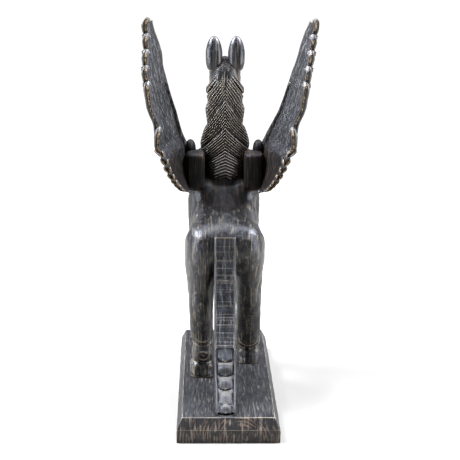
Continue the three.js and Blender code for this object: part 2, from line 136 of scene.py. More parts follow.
def ebonised_wood(name, turn, pith, line=0.6, rub=0.6, brown=0.7, ring=0.2, gloss=0.36, painted_sheen=0.8,
                  pale=("#4d4437", "#94886f"), bump=1.0, ior=1.46, long=1.0):
    """Ebonised and waxed wood. The stain is nearly black under a clear wax, the pale ground shows as broken
    lines along the grain and on rubbed edges, and old polish lies brown in the cuts. A bluish-grey film
    follows the grain in bands, a painted sheen for the light the wax reflects. The mesh marks where the end
    grain shows, where the wax is dull and painted with shade, and where hands have worn it pale, which on some
    faces is painted light. turn brings the grain to Z, and pith is the tree's heart across it, in metres.
    line, rub, brown, ring and painted_sheen say how much of each shows. gloss is the wax's roughness, pale the
    ground's two tones, bump how far the tool marks stand out, and long draws the grain out."""
    material = bpy.data.materials.new(name)
    material.use_nodes = True
    tree = material.node_tree
    tree.nodes.clear()
    place = add(tree, "ShaderNodeTexCoord").outputs["Object"]
    wood = add(tree, "ShaderNodeMapping",
               {"Vector": place, "Rotation": turn, "Location": (-pith[0], -pith[1], 0)})
    wander = add(tree, "ShaderNodeTexNoise", {"Vector": wood.outputs[0], "Scale": 1 / 0.09, "Detail": 1.0})
    off = add(tree, "ShaderNodeVectorMath", {0: wander.outputs["Color"], 1: (0.5, 0.5, 0.5)},
              operation="SUBTRACT")
    bent = add(tree, "ShaderNodeVectorMath", {0: off.outputs[0], 1: (0.006, 0.006, 0.0), 2: wood.outputs[0]},
               operation="MULTIPLY_ADD").outputs[0]

    def noise(across, along, detail=2.0, rough=0.6, seed=0.0, lying=False):
        """Noise drawn out along the grain, with cells across and along it in millimetres. Lying noise is
        drawn out along Y, as the tool runs over the parts that face up."""
        cells = (1 / (across * MM), 1 / ((along if lying else across) * MM), 1 / (along * MM))
        moved = add(tree, "ShaderNodeVectorMath", {0: bent, 1: cells, 2: (seed, seed, seed)},
                    operation="MULTIPLY_ADD")
        cloud = {"Vector": moved.outputs[0], "Scale": 1.0, "Detail": detail, "Roughness": rough}
        return add(tree, "ShaderNodeTexNoise", cloud).outputs["Fac"]

    def between(value, low, high, first=0.0, last=1.0):
        return add(tree, "ShaderNodeMapRange", {"Value": value, 1: low, 2: high, 3: first, 4: last},
                   interpolation_type="SMOOTHSTEP").outputs[0]

    def times(a, b):
        return add(tree, "ShaderNodeMath", {0: a, 1: b}, operation="MULTIPLY").outputs[0]

    def mixed(share, first, second):
        return add(tree, "ShaderNodeMix", {0: share, 6: first, 7: second}, data_type="RGBA").outputs[2]

    # Grain lines are 4 mm apart here, coarser than real pores, because finer ones don't show in the render.
    facing = add(tree, "ShaderNodeSeparateXYZ", {0: add(tree, "ShaderNodeNewGeometry").outputs["Normal"]})
    ends = add(tree, "ShaderNodeMath", {0: facing.outputs[1]}, operation="ABSOLUTE").outputs[0]
    most = add(tree, "ShaderNodeMath", {0: facing.outputs[2], 1: ends}, operation="MAXIMUM").outputs[0]
    lying = between(most, 0.3, 0.6)
    upright = noise(GRAIN, 55 * long, 3.0, 0.62)
    laid = noise(GRAIN, 55, 3.0, 0.62, 4.0, True)
    streak = add(tree, "ShaderNodeMix", {0: lying, 2: upright, 3: laid}, data_type="FLOAT").outputs[0]
    hair = noise(HAIR, 24 * long, 2.0, 0.6, 15.0)
    fine = noise(PORE, 9, 2.0, 0.6, 7.0)
    patch = noise(PATCH, 70, 2.0, 0.55, 3.0)
    wax = noise(SHEEN_BAND, 190 * long, 3.0, 0.6, 9.0)
    cut = add(tree, "ShaderNodeAttribute", attribute_name="cut").outputs["Fac"]
    end = add(tree, "ShaderNodeAttribute", attribute_name="end").outputs["Fac"]
    dull_and_shade = add(tree, "ShaderNodeAttribute", attribute_name="dull_and_shade").outputs["Fac"]
    worn = add(tree, "ShaderNodeAttribute", attribute_name="worn").outputs["Fac"]
    tree_rings = {"Vector": bent, "Scale": 0.314 / (RING * MM), "Distortion": 2.6, "Detail": 3.0,
                  "Detail Scale": 2.2}
    rings = add(tree, "ShaderNodeTexWave", tree_rings, wave_type="RINGS", rings_direction="Z",
                wave_profile="SIN").outputs["Fac"]

    # Painted sheen: bands of bluish-grey film along the grain stand in for the light the wax reflects.
    body = mixed(times(between(wax, 0.42, 0.68), painted_sheen), colour(STAIN), colour(PAINTED_WAX_SHEEN))
    lines = times(between(streak, 0.53, 0.62), between(patch, 0.34, 0.54))
    ground = mixed(fine, colour(pale[0]), colour(pale[1]))
    body = mixed(times(lines, line), body, ground)
    body = mixed(times(between(hair, 0.57, 0.66), 0.5 * line), body, ground)
    sawn = between(ends, 0.5, 0.9)
    body = mixed(times(sawn, ring), body, mixed(times(lines, 0.7), colour(SAWN_END), colour(SAWN_LINE)))
    ringed = times(times(between(rings, 0.5, 0.9), between(patch, 0.42, 0.66)), sawn)
    body = mixed(times(ringed, ring), body, colour(GROWTH_RING))
    groove = between(cut, 0.56, 0.85)
    polish = mixed(between(fine, 0.4, 0.65), colour(CUT_BLACK), colour(CUT_BROWN))
    body = mixed(times(groove, brown), body, polish)
    rubbed = times(between(cut, 0.4, 0.12), between(fine, 0.3, 0.6, 0.35, 1.0))
    body = mixed(times(rubbed, rub), body, colour(RUBBED_EDGE))
    strip = between(noise(6, 6, 1.0, 0.5, 5.0), 0.42, 0.56)
    # Painted shade: where the mesh is marked dull, the colour goes to near black with dark brown along the
    # grain, and the wax turns matt.
    body = mixed(dull_and_shade, body, mixed(between(streak, 0.52, 0.62), colour(DULL_AND_SHADE_BLACK), colour(DULL_AND_SHADE_BROWN)))
    # The pale ground where worn: real wear, and on the tail's upward-facing lock tops a painted light.
    body = mixed(times(worn, between(fine, 0.35, 0.6, 0.45, 1.0)), body, colour(WORN_AND_LIT_GROUND))
    flecks = mixed(between(fine, 0.4, 0.6), colour(FLECK_DARK), colour(FLECK_PALE))
    body = mixed(times(end, 0.9), body, mixed(strip, colour(FLECK_GROUND), flecks))

    # The gouge leaves hollows 13 mm apart, longer along the grain.
    drawn = add(tree, "ShaderNodeVectorMath", {0: bent, 1: (1, 1, 0.42)}, operation="MULTIPLY").outputs[0]
    hollows = add(tree, "ShaderNodeTexVoronoi", {"Vector": drawn, "Scale": 1 / 0.013, "Smoothness": 0.35},
                  feature="SMOOTH_F1").outputs["Distance"]
    tools = add(tree, "ShaderNodeBump", {"Height": hollows, "Strength": 0.3 * bump, "Distance": 0.0018})
    grain = add(tree, "ShaderNodeBump",
                {"Height": streak, "Strength": 0.7 * bump, "Distance": 0.0013, "Normal": tools.outputs[0]})
    pores = add(tree, "ShaderNodeBump",
                {"Height": fine, "Strength": 0.4 * bump, "Distance": 0.0006, "Normal": grain.outputs[0]})
    waxed = add(tree, "ShaderNodeMapRange",
                {"Value": streak, 1: 0.35, 2: 0.7, 3: gloss - 0.06, 4: gloss + 0.2})
    rough = add(tree, "ShaderNodeMix", {0: dull_and_shade, 2: waxed.outputs[0], 3: 0.6}, data_type="FLOAT")
    shader = add(tree, "ShaderNodeBsdfPrincipled", {
        "Base Color": body, "Roughness": rough.outputs[0], "Normal": pores.outputs[0], "IOR": ior})
    add(tree, "ShaderNodeOutputMaterial", {"Surface": shader.outputs[0]})
    return material


def left_matt(mesh, matt):
    """Gives the faces that are marked dull, and painted with shade, a second, matt material, up to a wavering
    line.
    """
    values = np.empty(len(mesh.vertices), np.float32)
    mesh.attributes["dull_and_shade"].data.foreach_get("value", values)
    mesh.materials.append(matt)
    values = values + 0.2 * np.clip(ripple(places_of(mesh) / MM * (1, 1, 0.4), 14, 5), -1, 1)
    chosen = [int(values[list(p.vertices)].mean() > 0.5) for p in mesh.polygons]
    mesh.polygons.foreach_set("material_index", chosen)


def ripple(points, wave, seed):
    """A smooth random height, about -1 to 1, with waves of the given length."""
    chance = np.random.default_rng(seed)
    total = np.zeros(len(points))
    for _ in range(12):
        way = chance.normal(size=3)
        way *= 2 * math.pi / (np.linalg.norm(way) * wave * chance.uniform(0.7, 1.5))
        total += np.sin(points @ way + chance.uniform(0, 2 * math.pi))
    return total / 3.5


def make_piece(name, points, faces, material, sharp=None):
    """A mesh object from points in millimetres."""
    mesh = bpy.data.meshes.new(name)
    mesh.from_pydata((np.asarray(points) * MM).tolist(), [], faces)
    mesh.validate()
    mesh.shade_smooth()
    if sharp:
        mesh.set_sharp_from_angle(angle=math.radians(sharp))
    made = bpy.data.objects.new(name, mesh)
    mesh.materials.append(material)
    bpy.context.scene.collection.objects.link(made)
    return made


def places_of(mesh, what="co"):
    values = np.empty(len(mesh.vertices) * 3, np.float32)
    mesh.vertices.foreach_get(what, values)
    return values.reshape(-1, 3).astype(float)


def mark(mesh, name, values):
    """A value for each point, which the material reads by name."""
    layer = mesh.attributes.get(name) or mesh.attributes.new(name, "FLOAT", "POINT")
    layer.data.foreach_set("value", np.asarray(values, np.float32))


def neighbours(mesh):
    """The two ends of every edge, and how many edges meet at each point."""
    edges = np.empty(len(mesh.edges) * 2, np.int32)
    mesh.edges.foreach_get("vertices", edges)
    a, b = edges.reshape(-1, 2).T
    count = len(mesh.vertices)
    return a, b, np.maximum(np.bincount(a, minlength=count) + np.bincount(b, minlength=count), 1)


def averaged(values, a, b, share):
    """The mean of each point's neighbours."""
    count = len(share)
    columns = [(np.bincount(a, v[b], count) + np.bincount(b, v[a], count)) / share for v in values.T]
    return np.stack(columns, 1)


def mark_cuts(made, passes=4, radius=3.0):
    """Marks each point's bend: 0.5 is flat, 1 the floor of a cut, 0 an edge, both of this radius or less."""
    mesh = made.data
    a, b, share = neighbours(mesh)
    start = places_of(mesh) / MM
    gap = np.linalg.norm(start[a] - start[b], axis=1) ** 2
    cell = (np.bincount(a, gap, len(share)) + np.bincount(b, gap, len(share))) / share
    place = start
    for _ in range(passes):
        place = averaged(place, a, b, share)
    depth = ((place - start) * places_of(mesh, "normal")).sum(1)
    bend = averaged((4 * depth / (passes * np.maximum(cell, 0.01)))[:, None], a, b, share)[:, 0]
    mark(mesh, "cut", 0.5 + 0.5 * np.clip(bend * radius, -1, 1))


def calm(mesh, chosen):
    """Takes the marks of cuts and edges off the chosen points."""
    values = np.empty(len(mesh.vertices), np.float32)
    mesh.attributes["cut"].data.foreach_get("value", values)
    values[chosen] = 0.5
    mark(mesh, "cut", values)


def dress(made, slot, *nodes):
    """The piece rides on the part's one body, and stands for its CAD solid."""
    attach(made, "root")
    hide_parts(*nodes)


def spaced(length, cell, edge):
    """Places from 0 to length, a cell apart, with closer ones within the rounded edges."""
    inner = np.linspace(edge * 1.6, length - edge * 1.6, max(2, round(length / cell)))
    rim = np.array([0, 0.25, 0.6, 1.0]) * edge
    return np.concatenate([rim, inner, length - rim[::-1]])


def plinth():
    low, high = (np.array(v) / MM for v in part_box("plinth"))
    size = high - low
    xs, ys = (spaced(size[k], PLINTH_CELL, PLINTH_EDGE) for k in (0, 1))
    at_band = PLINTH_BAND + np.array([-1, 0, 1])
    zs = np.unique(np.concatenate([spaced(size[2], PLINTH_CELL, PLINTH_EDGE), at_band]))
    points, faces = [], []

    def sheet(a, b, put):
        start = sum(len(p) for p in points)
        aa, bb = np.meshgrid(a, b, indexing="ij")
        points.append(put(aa.ravel(), bb.ravel()))
        index = start + np.arange(len(a) * len(b)).reshape(len(a), len(b))
        quads = np.stack([index[:-1, :-1], index[1:, :-1], index[1:, 1:], index[:-1, 1:]], -1)
        faces.extend(quads.reshape(-1, 4).tolist())

    flat = np.zeros_like
    sheet(xs, ys, lambda a, b: np.stack([a, b, flat(a) + size[2]], 1))
    sheet(ys, xs, lambda a, b: np.stack([b, a, flat(a)], 1))
    sheet(xs, zs, lambda a, b: np.stack([a, flat(a), b], 1))
    sheet(zs, xs, lambda a, b: np.stack([b, flat(a) + size[1], a], 1))
    sheet(ys, zs, lambda a, b: np.stack([flat(a) + size[0], a, b], 1))
    sheet(zs, ys, lambda a, b: np.stack([flat(a), b, a], 1))
    box = np.concatenate(points)

    # Round the edges, then draw the sides in above the band for the bevel.
    core = np.clip(box, PLINTH_EDGE, size - PLINTH_EDGE)
    away = box - core
    far = np.linalg.norm(away, axis=1, keepdims=True)
    rounded = np.where(far > 0, core + away / np.maximum(far, 1e-9) * np.minimum(far, PLINTH_EDGE), box)
    inset = np.clip((rounded[:, 2] - PLINTH_BAND) / (size[2] - PLINTH_BAND), 0, 1) * PLINTH_BEVEL
    shape = rounded - size / 2
    for k in (0, 1):
        shape[:, k] *= 1 - inset / (size[k] / 2)
    shape += (low + high) / 2
    worn = np.maximum(0.35 * ripple(shape, 90, 1) + 0.2 * ripple(shape, 24, 2), -0.5)
    shape[:, 2] -= np.where(rounded[:, 2] > size[2] - 0.01, 0.5 + worn, 0)
    inward = np.sign(rounded - size / 2) * (np.abs(rounded - size / 2) > size / 2 - 0.01)
    shape[:, :2] -= inward[:, :2] * (0.5 + worn)[:, None] * 0.6
    made = make_piece("plinth_board", shape, faces, PLINTH_WOOD)

    # The edges and the line between band and bevel are rubbed pale.
    rim = ((np.abs(away) > 0.2 * PLINTH_EDGE).sum(1) > 1) & (rounded[:, 2] > 5)
    arris = np.abs(rounded[:, 2] - PLINTH_BAND) < 0.5
    uneven = 0.3 * ripple(shape, 60, 3) * (rim | arris)
    mark(made.data, "worn", np.clip(0.4 * rim + 0.7 * arris + uneven, 0, 1))
    welder = bmesh.new()
    welder.from_mesh(made.data)
    bmesh.ops.remove_doubles(welder, verts=welder.verts, dist=0.05 * MM)
    welder.to_mesh(made.data)
    welder.free()
    made.data.shade_smooth()
    mark_cuts(made, radius=6.0)
    dress(made, "plinth_wood", "plinth")


# The board's heart lies low and to the right of the middle, so its growth rings arch across the near end.
# The finish gives the eye a black top with short pale flecks and a brown, ringed end.
PLINTH_WOOD = ebonised_wood("plinth_ebonised_and_waxed", (math.pi / 2, 0, 0), (-0.030, -0.004), line=0.25,
                            rub=0.9, ring=0.9, gloss=0.46, painted_sheen=0.05, pale=("#4b443c", "#8b8272"))
plinth()


# Horse: trunk, neck, head and legs, carved from one block. Each limb is a run of level sections between the
# named stations, and the gouge has left long soft hollows between the muscles.
HORSE_X = 5
NECK_X = 3
FLOOR = 60.3
HOOF_HIGH = 41
BODY_CELL = 6.1
LEFT_FORE_Y = -312
RIGHT_FORE_Y = -222

# Trunk: y, half width, belly height, back height.
TRUNK = [
    (-324, 30, 412, 500), (-312, 60, 366, 540), (-272, 84, 334, 562), (-210, 90, 316, 562),
    (-150, 91, 312, 540), (-80, 90, 316, 512), (-10, 92, 326, 490), (40, 90, 338, 474), (76, 77, 352, 451),
    (98, 48, 372, 426), (106, 22, 388, 410),
]
# Neck and legs: z, x, y, half width, half depth.
NECK = [
    (470, 0, -220, 80, 92), (540, 0, -230, 78, 96), (600, -1, -241, 68, 91), (660, -2, -241, 53, 81),
    (730, -2, -243, 45, 70), (790, -2, -248, 43, 63), (845, -2, -251, 43, 55), (864, -2, -252, 34, 44),
    (872, -2, -254, 18, 24),
]
LEFT_HIND = [
    (92, 58, 36, 25, 28), (104, 58, 42, 27, 29), (125, 57, 48, 30, 32), (146, 57, 50, 26, 27),
    (153, 57, 51, 24, 26), (161, 58, 52, 28, 29), (180, 61, 56, 30, 31), (215, 61, 64, 31, 34),
    (250, 62, 64, 32, 41), (290, 62, 47, 34, 53), (335, 58, 32, 43, 71), (390, 54, 30, 50, 80),
    (430, 54, 29, 49, 74), (454, 52, 27, 42, 60), (466, 50, 24, 29, 42), (472, 48, 20, 12, 18),
]
RIGHT_HIND = [
    (92, -66, -78, 24, 27), (102, -66, -73, 25, 26), (110, -66, -68, 29, 28), (120, -66, -62, 33, 31),
    (140, -66, -55, 34, 30), (180, -65, -38, 34, 30), (215, -65, -22, 34, 34), (250, -64, -10, 35, 40),
    (290, -62, -10, 36, 52), (335, -58, 4, 43, 70), (390, -54, 24, 50, 80),
    (430, -54, 28, 49, 74), (454, -52, 27, 42, 60), (466, -50, 24, 29, 42), (472, -48, 20, 12, 18),
]
# The yoke fills the shoulders between the wings' roots.
YOKE = [(500, 0, -200, 88, 56), (560, 0, -204, 86, 52), (600, 0, -212, 82, 44), (622, 0, -216, 76, 36),
        (631, 0, -218, 60, 24)]
# Head: share of its length, half width, half height, and how far its middle is lifted.
HEAD = [
    (-0.16, 24, 26, 2), (-0.04, 37, 45, -3), (0.12, 43, 58, -9), (0.3, 42, 58, -10), (0.5, 35, 45, -4),
    (0.7, 29, 34, 0), (0.88, 29, 32, -1), (0.98, 25, 26, -3), (1.04, 12, 13, -4),
]
HEAD_TOP = np.array([NECK_X, -246.0, 838.0])
HEAD_END = np.array([NECK_X, -364.0, 688.0])
HEAD_LINE = HEAD_END - HEAD_TOP
BROW = np.array([0, HEAD_LINE[2], -HEAD_LINE[1]]) / np.linalg.norm(HEAD_LINE)


def smooth(table, at):
    """The columns of a table of sizes, run smoothly through its first column with no overshoot."""
    table = np.asarray(table, float)
    places, values = table[:, 0], table[:, 1:]
    gap = np.diff(places)[:, None]
    slope = np.diff(values, axis=0) / gap
    both = slope[:-1] * slope[1:]
    way = np.zeros_like(values)
    way[1:-1] = np.where(both > 0, 2 * both / np.where(both > 0, slope[:-1] + slope[1:], 1), 0)
    way[0], way[-1] = slope[0], slope[-1]
    at = np.asarray(at, float)
    i = np.clip(np.searchsorted(places, at, side="right") - 1, 0, len(places) - 2)
    t = np.clip((at - places[i]) / gap[i, 0], 0, 1)[..., None]
    ease = (1 - t) ** 2
    return (ease * (1 + 2 * t) * values[i] + t * ease * gap[i] * way[i]
            + t * t * (3 - 2 * t) * values[i + 1] + t * t * (t - 1) * gap[i] * way[i + 1])


def rounded_ring(middles, across, up, wide, high, square, around):
    """Rings of a rounded section, one for each middle: square 2 is an ellipse, more fills out the corners."""
    angle = (np.arange(around) + 0.5) / around * 2 * math.pi
    bow = [np.sign(f(angle)) * np.abs(f(angle)) ** (2 / square) for f in (np.cos, np.sin)]
    middles, across, up = (np.asarray(v, float) for v in (middles, across, up))
    return (middles[:, None] + wide[:, None, None] * bow[0][None, :, None] * across
            + high[:, None, None] * bow[1][None, :, None] * up)


def skin(rings):
    """A closed shell over rings of points, with its faces turned outwards."""
    rows, around = rings.shape[:2]
    index = np.arange(rows * around).reshape(rows, around)
    after = np.roll(index, -1, 1)
    quads = np.stack([index[:-1], after[:-1], after[1:], index[1:]], -1).reshape(-1, 4)
    points = np.concatenate([rings.reshape(-1, 3), rings[:1].mean(1), rings[-1:].mean(1)])
    first = [[len(points) - 2, b, a] for a, b in zip(index[0], after[0])]
    last = [[len(points) - 1, a, b] for a, b in zip(index[-1], after[-1])]
    corners = points[quads]
    middle = points.mean(0)
    out = np.cross(corners[:, 2] - corners[:, 0], corners[:, 3] - corners[:, 1])
    faces = quads.tolist() + first + last
    if ((corners.mean(1) - middle) * out).sum() < 0:
        faces = [f[::-1] for f in faces]
    return points, faces


def joined(shells):
    """Several closed shells as one set of points and faces."""
    points, faces, start = [], [], 0
    for shell_points, shell_faces in shells:
        points.append(shell_points)
        faces += [[int(i) + start for i in face] for face in shell_faces]
        start += len(shell_points)
    return np.concatenate(points), faces


def limb(table, square, around=36, cell=4.0):
    z = np.arange(table[0][0], table[-1][0] + 0.01, cell)
    x, y, wide, deep = smooth(table, z).T
    middles = np.stack([HORSE_X + x, y, z], 1)
    return skin(rounded_ring(middles, (1, 0, 0), (0, 1, 0), wide, deep, square, around))


def trunk():
    y = np.arange(TRUNK[0][0], TRUNK[-1][0] + 0.01, 4.0)
    wide, low, high = smooth(TRUNK, y).T
    middles = np.stack([np.full_like(y, HORSE_X), y, (low + high) / 2], 1)
    return skin(rounded_ring(middles, (1, 0, 0), (0, 0, 1), wide, (high - low) / 2, 2.15, 48))


def foreleg(side, foot_y):
    knee_y = foot_y + 0.35 * (-235 - foot_y)
    table = [
        (92, 66, foot_y + 2, 21, 24), (104, 66, foot_y + 8, 21, 24), (124, 66, foot_y + 12, 25, 28),
        (148, 66, foot_y + 12, 20, 22), (200, 66, knee_y + 2, 21, 23), (236, 65, knee_y - 4, 26, 28),
        (262, 64, knee_y, 25, 27), (310, 61, -226, 30, 38), (370, 57, -214, 38, 54), (440, 54, -200, 45, 68),
        (500, 53, -184, 46, 66), (535, 51, -176, 38, 52), (552, 48, -172, 18, 26),
    ]
    return limb([(z, side * x, y, wide, deep) for z, x, y, wide, deep in table], 2.2)


def on_head(along, across, up):
    return HEAD_TOP + HEAD_LINE * along + BROW * up + np.array([across, 0, 0])


def head():
    along = np.linspace(HEAD[0][0], HEAD[-1][0], 56)
    wide, high, lift = smooth(HEAD, along).T
    middles = np.array([on_head(a, 0, u) for a, u in zip(along, lift)])
    return skin(rounded_ring(middles, (1, 0, 0), BROW, wide, high, 2.3, 36))


def egg(middle, size):
    turn = np.linspace(0.15, math.pi - 0.15, 12)
    middles = middle - np.outer(np.cos(turn), [0, 0, size[2]])
    wide, deep = size[0] * np.sin(turn), size[1] * np.sin(turn)
    return skin(rounded_ring(middles, (1, 0, 0), (0, 1, 0), wide, deep, 2, 16))


def through(path, cell=4.0):
    """A smooth line through a few places, as points a cell apart."""
    path = np.asarray(path, float)
    run = np.concatenate([[0], np.cumsum(np.linalg.norm(np.diff(path, axis=0), axis=1))])
    return smooth(np.column_stack([run, path]), np.linspace(0, run[-1], max(3, int(run[-1] / cell) + 1)))


# The planes that a cut is drawn in: the two axes drawn, the axis it is looked at along, and from which side.
DRAWN_FROM = {"left": (1, 2, 0, 1), "right": (1, 2, 0, -1), "back": (0, 2, 1, 1), "front": (0, 2, 1, -1),
              "top": (0, 1, 2, 1)}


def gouge(points, normals, seen, path, wide, deep, swell=0.0):
    """The height that one gouged line takes off, or with deep below nought a ridge puts on. It fades at its
    ends, and swell leaves the wood proud on both sides of it."""
    i, j, k, sign = DRAWN_FROM[seen]
    line = through(path)
    flat = points[:, [i, j]]
    close = ((flat > line.min(0) - 4 * wide) & (flat < line.max(0) + 4 * wide)).all(1)
    close &= sign * normals[:, k] > 0.05
    if seen in ("left", "right"):
        close &= sign * (points[:, 0] - HORSE_X) > 0
    taken = np.zeros(len(points))
    near = flat[close]
    if not len(near):
        return taken
    step = line[1:] - line[:-1]
    share = ((near[:, None] - line[:-1]) * step).sum(2) / (step ** 2).sum(1)
    share = np.clip(share, 0, 1)
    away = np.linalg.norm(near[:, None] - line[:-1] - share[..., None] * step, axis=2)
    best = away.argmin(1)
    away = away.min(1) / wide
    along = (best + share[np.arange(len(near)), best]) / len(step)
    ends = np.clip(np.sin(math.pi * np.clip(along, 0.02, 0.98)) * 2.2, 0, 1)
    facing = np.clip(sign * normals[close][:, k] * 3, 0, 1)
    form = -deep * np.exp(-away ** 2) + swell * np.exp(-((away - 2.2) / 1.1) ** 2)
    taken[close] = form * ends * facing
    return taken


def head_line(*places):
    """Places on the head, as shares along it and heights above its middle line, seen from the side."""
    return [tuple(on_head(a, 0, u)[1:]) for a, u in places]


def circle(middle, radius, first=0, last=360):
    turns = np.radians(np.linspace(first, last, 9))
    return [(middle[0] + radius * math.cos(t), middle[1] + radius * math.sin(t)) for t in turns]


# Cuts on both sides, seen from the side as y and z: width, depth, swell, path.
SIDE_CUTS = [
    (7, 2.6, 1.6, [(-190, 548), (-238, 505), (-280, 452), (-304, 408)]),
    (8, 3.2, 2.2, [(-138, 524), (-146, 470), (-160, 410), (-176, 360), (-196, 330)]),
    (7, 2.2, 1.2, [(-262, 392), (-232, 352), (-204, 342), (-178, 352)]),
    (9, 3.0, 2.2, [(-78, 330), (-52, 356), (-42, 398), (-52, 446)]),
    (7, 2.2, 1.4, [(-36, 368), (-8, 336), (20, 304), (26, 268)]),
    (10, 1.8, 1.2, [(48, 470), (14, 436), (2, 392), (12, 350), (36, 316)]),
    (8, 2.2, 1.4, [(-292, 806), (-288, 744), (-304, 664), (-314, 580), (-300, 505)]),
    (9, 1.6, 1.0, [(-262, 800), (-250, 740), (-262, 660), (-250, 590), (-222, 548)]),
    (3.2, 2.4, 1.0, head_line((0.46, -38), (0.44, -14), (0.32, 2), (0.14, 3), (0.0, -10))),
    (5, 1.4, 0.8, head_line((0.4, 9), (0.6, 4), (0.82, 2))),
    (2.6, 2.4, 0.8, head_line((1.05, -13), (0.92, -14), (0.8, -11))),
]
for rib in range(4):
    top = -118 + 22 * rib
    SIDE_CUTS.append((6, 0.9, 0.6, [(top, 476 - 6 * rib), (top + 8, 430), (top + 2, 384), (top - 12, 346)]))


def carve_body(made):
    """Sinks the cuts and the soft unevenness of hand work into the smooth body."""
    mesh = made.data
    points, normals = places_of(mesh) / MM, places_of(mesh, "normal")
    height = 0.55 * ripple(points, 70, 3) + 0.35 * ripple(points, 26, 4)
    for wide, deep, swell, path in SIDE_CUTS:
        for seen in ("left", "right"):
            height += gouge(points, normals, seen, path, wide, deep, swell)
    for side, seen in ((1, "left"), (-1, "right")):
        eye, nostril = on_head(0.34, 0, 20)[1:], on_head(0.93, 0, 9)[1:]
        height += gouge(points, normals, seen, circle(eye, 10.5), 2.4, 2.4, 0.8)
        height += gouge(points, normals, seen, [nostril + (-3, 5), nostril, nostril + (3, -4)], 4.5, 5.0, 1.0)
        path = [(HORSE_X + side * 31, 430), (HORSE_X + side * 40, 388), (HORSE_X + side * 36, 340),
                (HORSE_X + side * 30, 306)]
        height += gouge(points, normals, "back", path, 8, 1.4)
    for n, z in enumerate((304, 292, 281)):
        path = [(HORSE_X + 36, z - 16), (HORSE_X + 52, z), (HORSE_X + 72, z - 3), (HORSE_X + 92, z - 24)]
        height += gouge(points, normals, "back", path, 2.4, 0.6)
        other = [(2 * HORSE_X - x - 4, z - 4 * n) for x, z in path]
        height += gouge(points, normals, "back", other, 2.4, 0.6)

    # The shanks end in a lip over each hind pastern, with a curl carved below it.
    for middle, lip, reach in ((HORSE_X + 57.5, 153, 30), (HORSE_X - 66, 109, 32)):
        for lower, deep in ((0, 4.2), (9, 1.2)):
            path = [(middle + reach * s, lip + lower + 17 * s * s) for s in (-1, -0.5, 0, 0.5, 1)]
            height += gouge(points, normals, "back", path, 3.0, deep, deep * 0.5)
    for middle, radius in (((HORSE_X + 56, 119), 10), ((HORSE_X - 78, 103), 6), ((HORSE_X - 62, 101), 5)):
        turns = np.linspace(0, 8.5, 18)
        inwards = radius * (1 - turns / 12)
        curl = np.stack([middle[0] + inwards * np.cos(turns), middle[1] + inwards * np.sin(turns)], 1)
        height += gouge(points, normals, "back", curl, 2.2, 2.6, 1.0)
    for z in range(124, 222, 9):
        rung = [(HORSE_X - 74, z), (HORSE_X - 66, z + 1), (HORSE_X - 58, z)]
        height += gouge(points, normals, "back", rung, 2.4, 1.1, 0.6)
    points += normals * height[:, None]
    mesh.vertices.foreach_set("co", (points * MM).astype(np.float32).ravel())
    mesh.update()


def applied(made):
    """Applies the object's modifiers to its mesh."""
    shown = made.evaluated_get(bpy.context.evaluated_depsgraph_get())
    mesh = bpy.data.meshes.new_from_object(shown)
    made.modifiers.clear()
    made.data = mesh
    return made


def soften(mesh, amount, passes):
    """Draws each point towards its neighbours, by an amount from 0 to 1 given for each point."""
    a, b, share = neighbours(mesh)
    points = places_of(mesh)
    for _ in range(passes):
        points += (averaged(points, a, b, share) - points) * amount[:, None]
    mesh.vertices.foreach_set("co", points.astype(np.float32).ravel())
    mesh.update()


def horse_body():
    shells = [trunk(), limb(NECK, 2.4), limb(YOKE, 2.4), limb(LEFT_HIND, 2.2), limb(RIGHT_HIND, 2.2),
              foreleg(1, LEFT_FORE_Y), foreleg(-1, RIGHT_FORE_Y), head()]
    shells += [egg(on_head(0.34, 34 * side, 20), (8, 11, 8)) for side in (-1, 1)]
    made = make_piece("horse_body", *joined(shells), HORSE_WOOD)
    fused = made.modifiers.new("fused", "REMESH")
    fused.mode = "VOXEL"
    fused.voxel_size = BODY_CELL * MM
    applied(made)
    soften(made.data, np.full(len(made.data.vertices), 0.5), 3)
    points = places_of(made.data) / MM
    croup = np.clip((points[:, 1] + 130) / 60, 0, 1) * np.clip((points[:, 2] - 405) / 40, 0, 1)
    chest = np.clip((-150 - points[:, 1]) / 50, 0, 1) * np.clip((points[:, 2] - 380) / 60, 0, 1)
    chest *= np.clip((620 - points[:, 2]) / 60, 0, 1)
    soften(made.data, 0.5 * np.maximum(croup, chest), 40)
    made.modifiers.new("finer", "SUBSURF").levels = 1
    applied(made)
    made.data.shade_smooth()
    carve_body(made)
    mark_cuts(made, radius=5.0)

    # The hollow of the back between the wings and the poll between the ears are marked dull: painted shade,
    # black and dark brown, where the wings, neck and ears shade them.
    (x, y, z), facing = places_of(made.data).T / MM, places_of(made.data, "normal")[:, 1]
    arch = 14 - 130 * ((x - HORSE_X) / 65) ** 2
    hollow = np.clip((arch - y) / 26, 0, 1) * np.clip((z - 466) / 16, 0, 1) * np.clip((680 - z) / 40, 0, 1)
    hollow *= np.clip(facing * 2 + 0.9, 0, 1) * np.clip((105 - np.abs(x - HORSE_X)) / 15, 0, 1)
    poll = np.clip((z - 838) / 12, 0, 1) * np.clip((-190 - y) / 20, 0, 1) * np.clip((y + 280) / 15, 0, 1)
    poll *= np.clip((34 - np.abs(x - NECK_X)) / 10, 0, 1)
    mark(made.data, "dull_and_shade", np.maximum(hollow, poll))
    left_matt(made.data, MATT_SHADE_WOOD)
    dress(made, "horse_wood", "horse")


# The waxed stain gives the eye soft bluish highlights on black, with pale lines down the muscles.
HORSE_WOOD = ebonised_wood("horse_ebonised_and_waxed", (0, 0, 0), (0.03, -0.12), line=0.55, ring=0.0,
                           painted_sheen=0.3)
# A matt stain that reflects little: with the painted shade on it, it stays dark brown also under the light.
MATT_SHADE_WOOD = ebonised_wood("ebonised_matt_painted_shade", (0, 0, 0), (0.9, 0.9), line=0.3, rub=0.15, ring=0.0,
                          gloss=0.5, painted_sheen=0.2, ior=1.25)
horse_body()


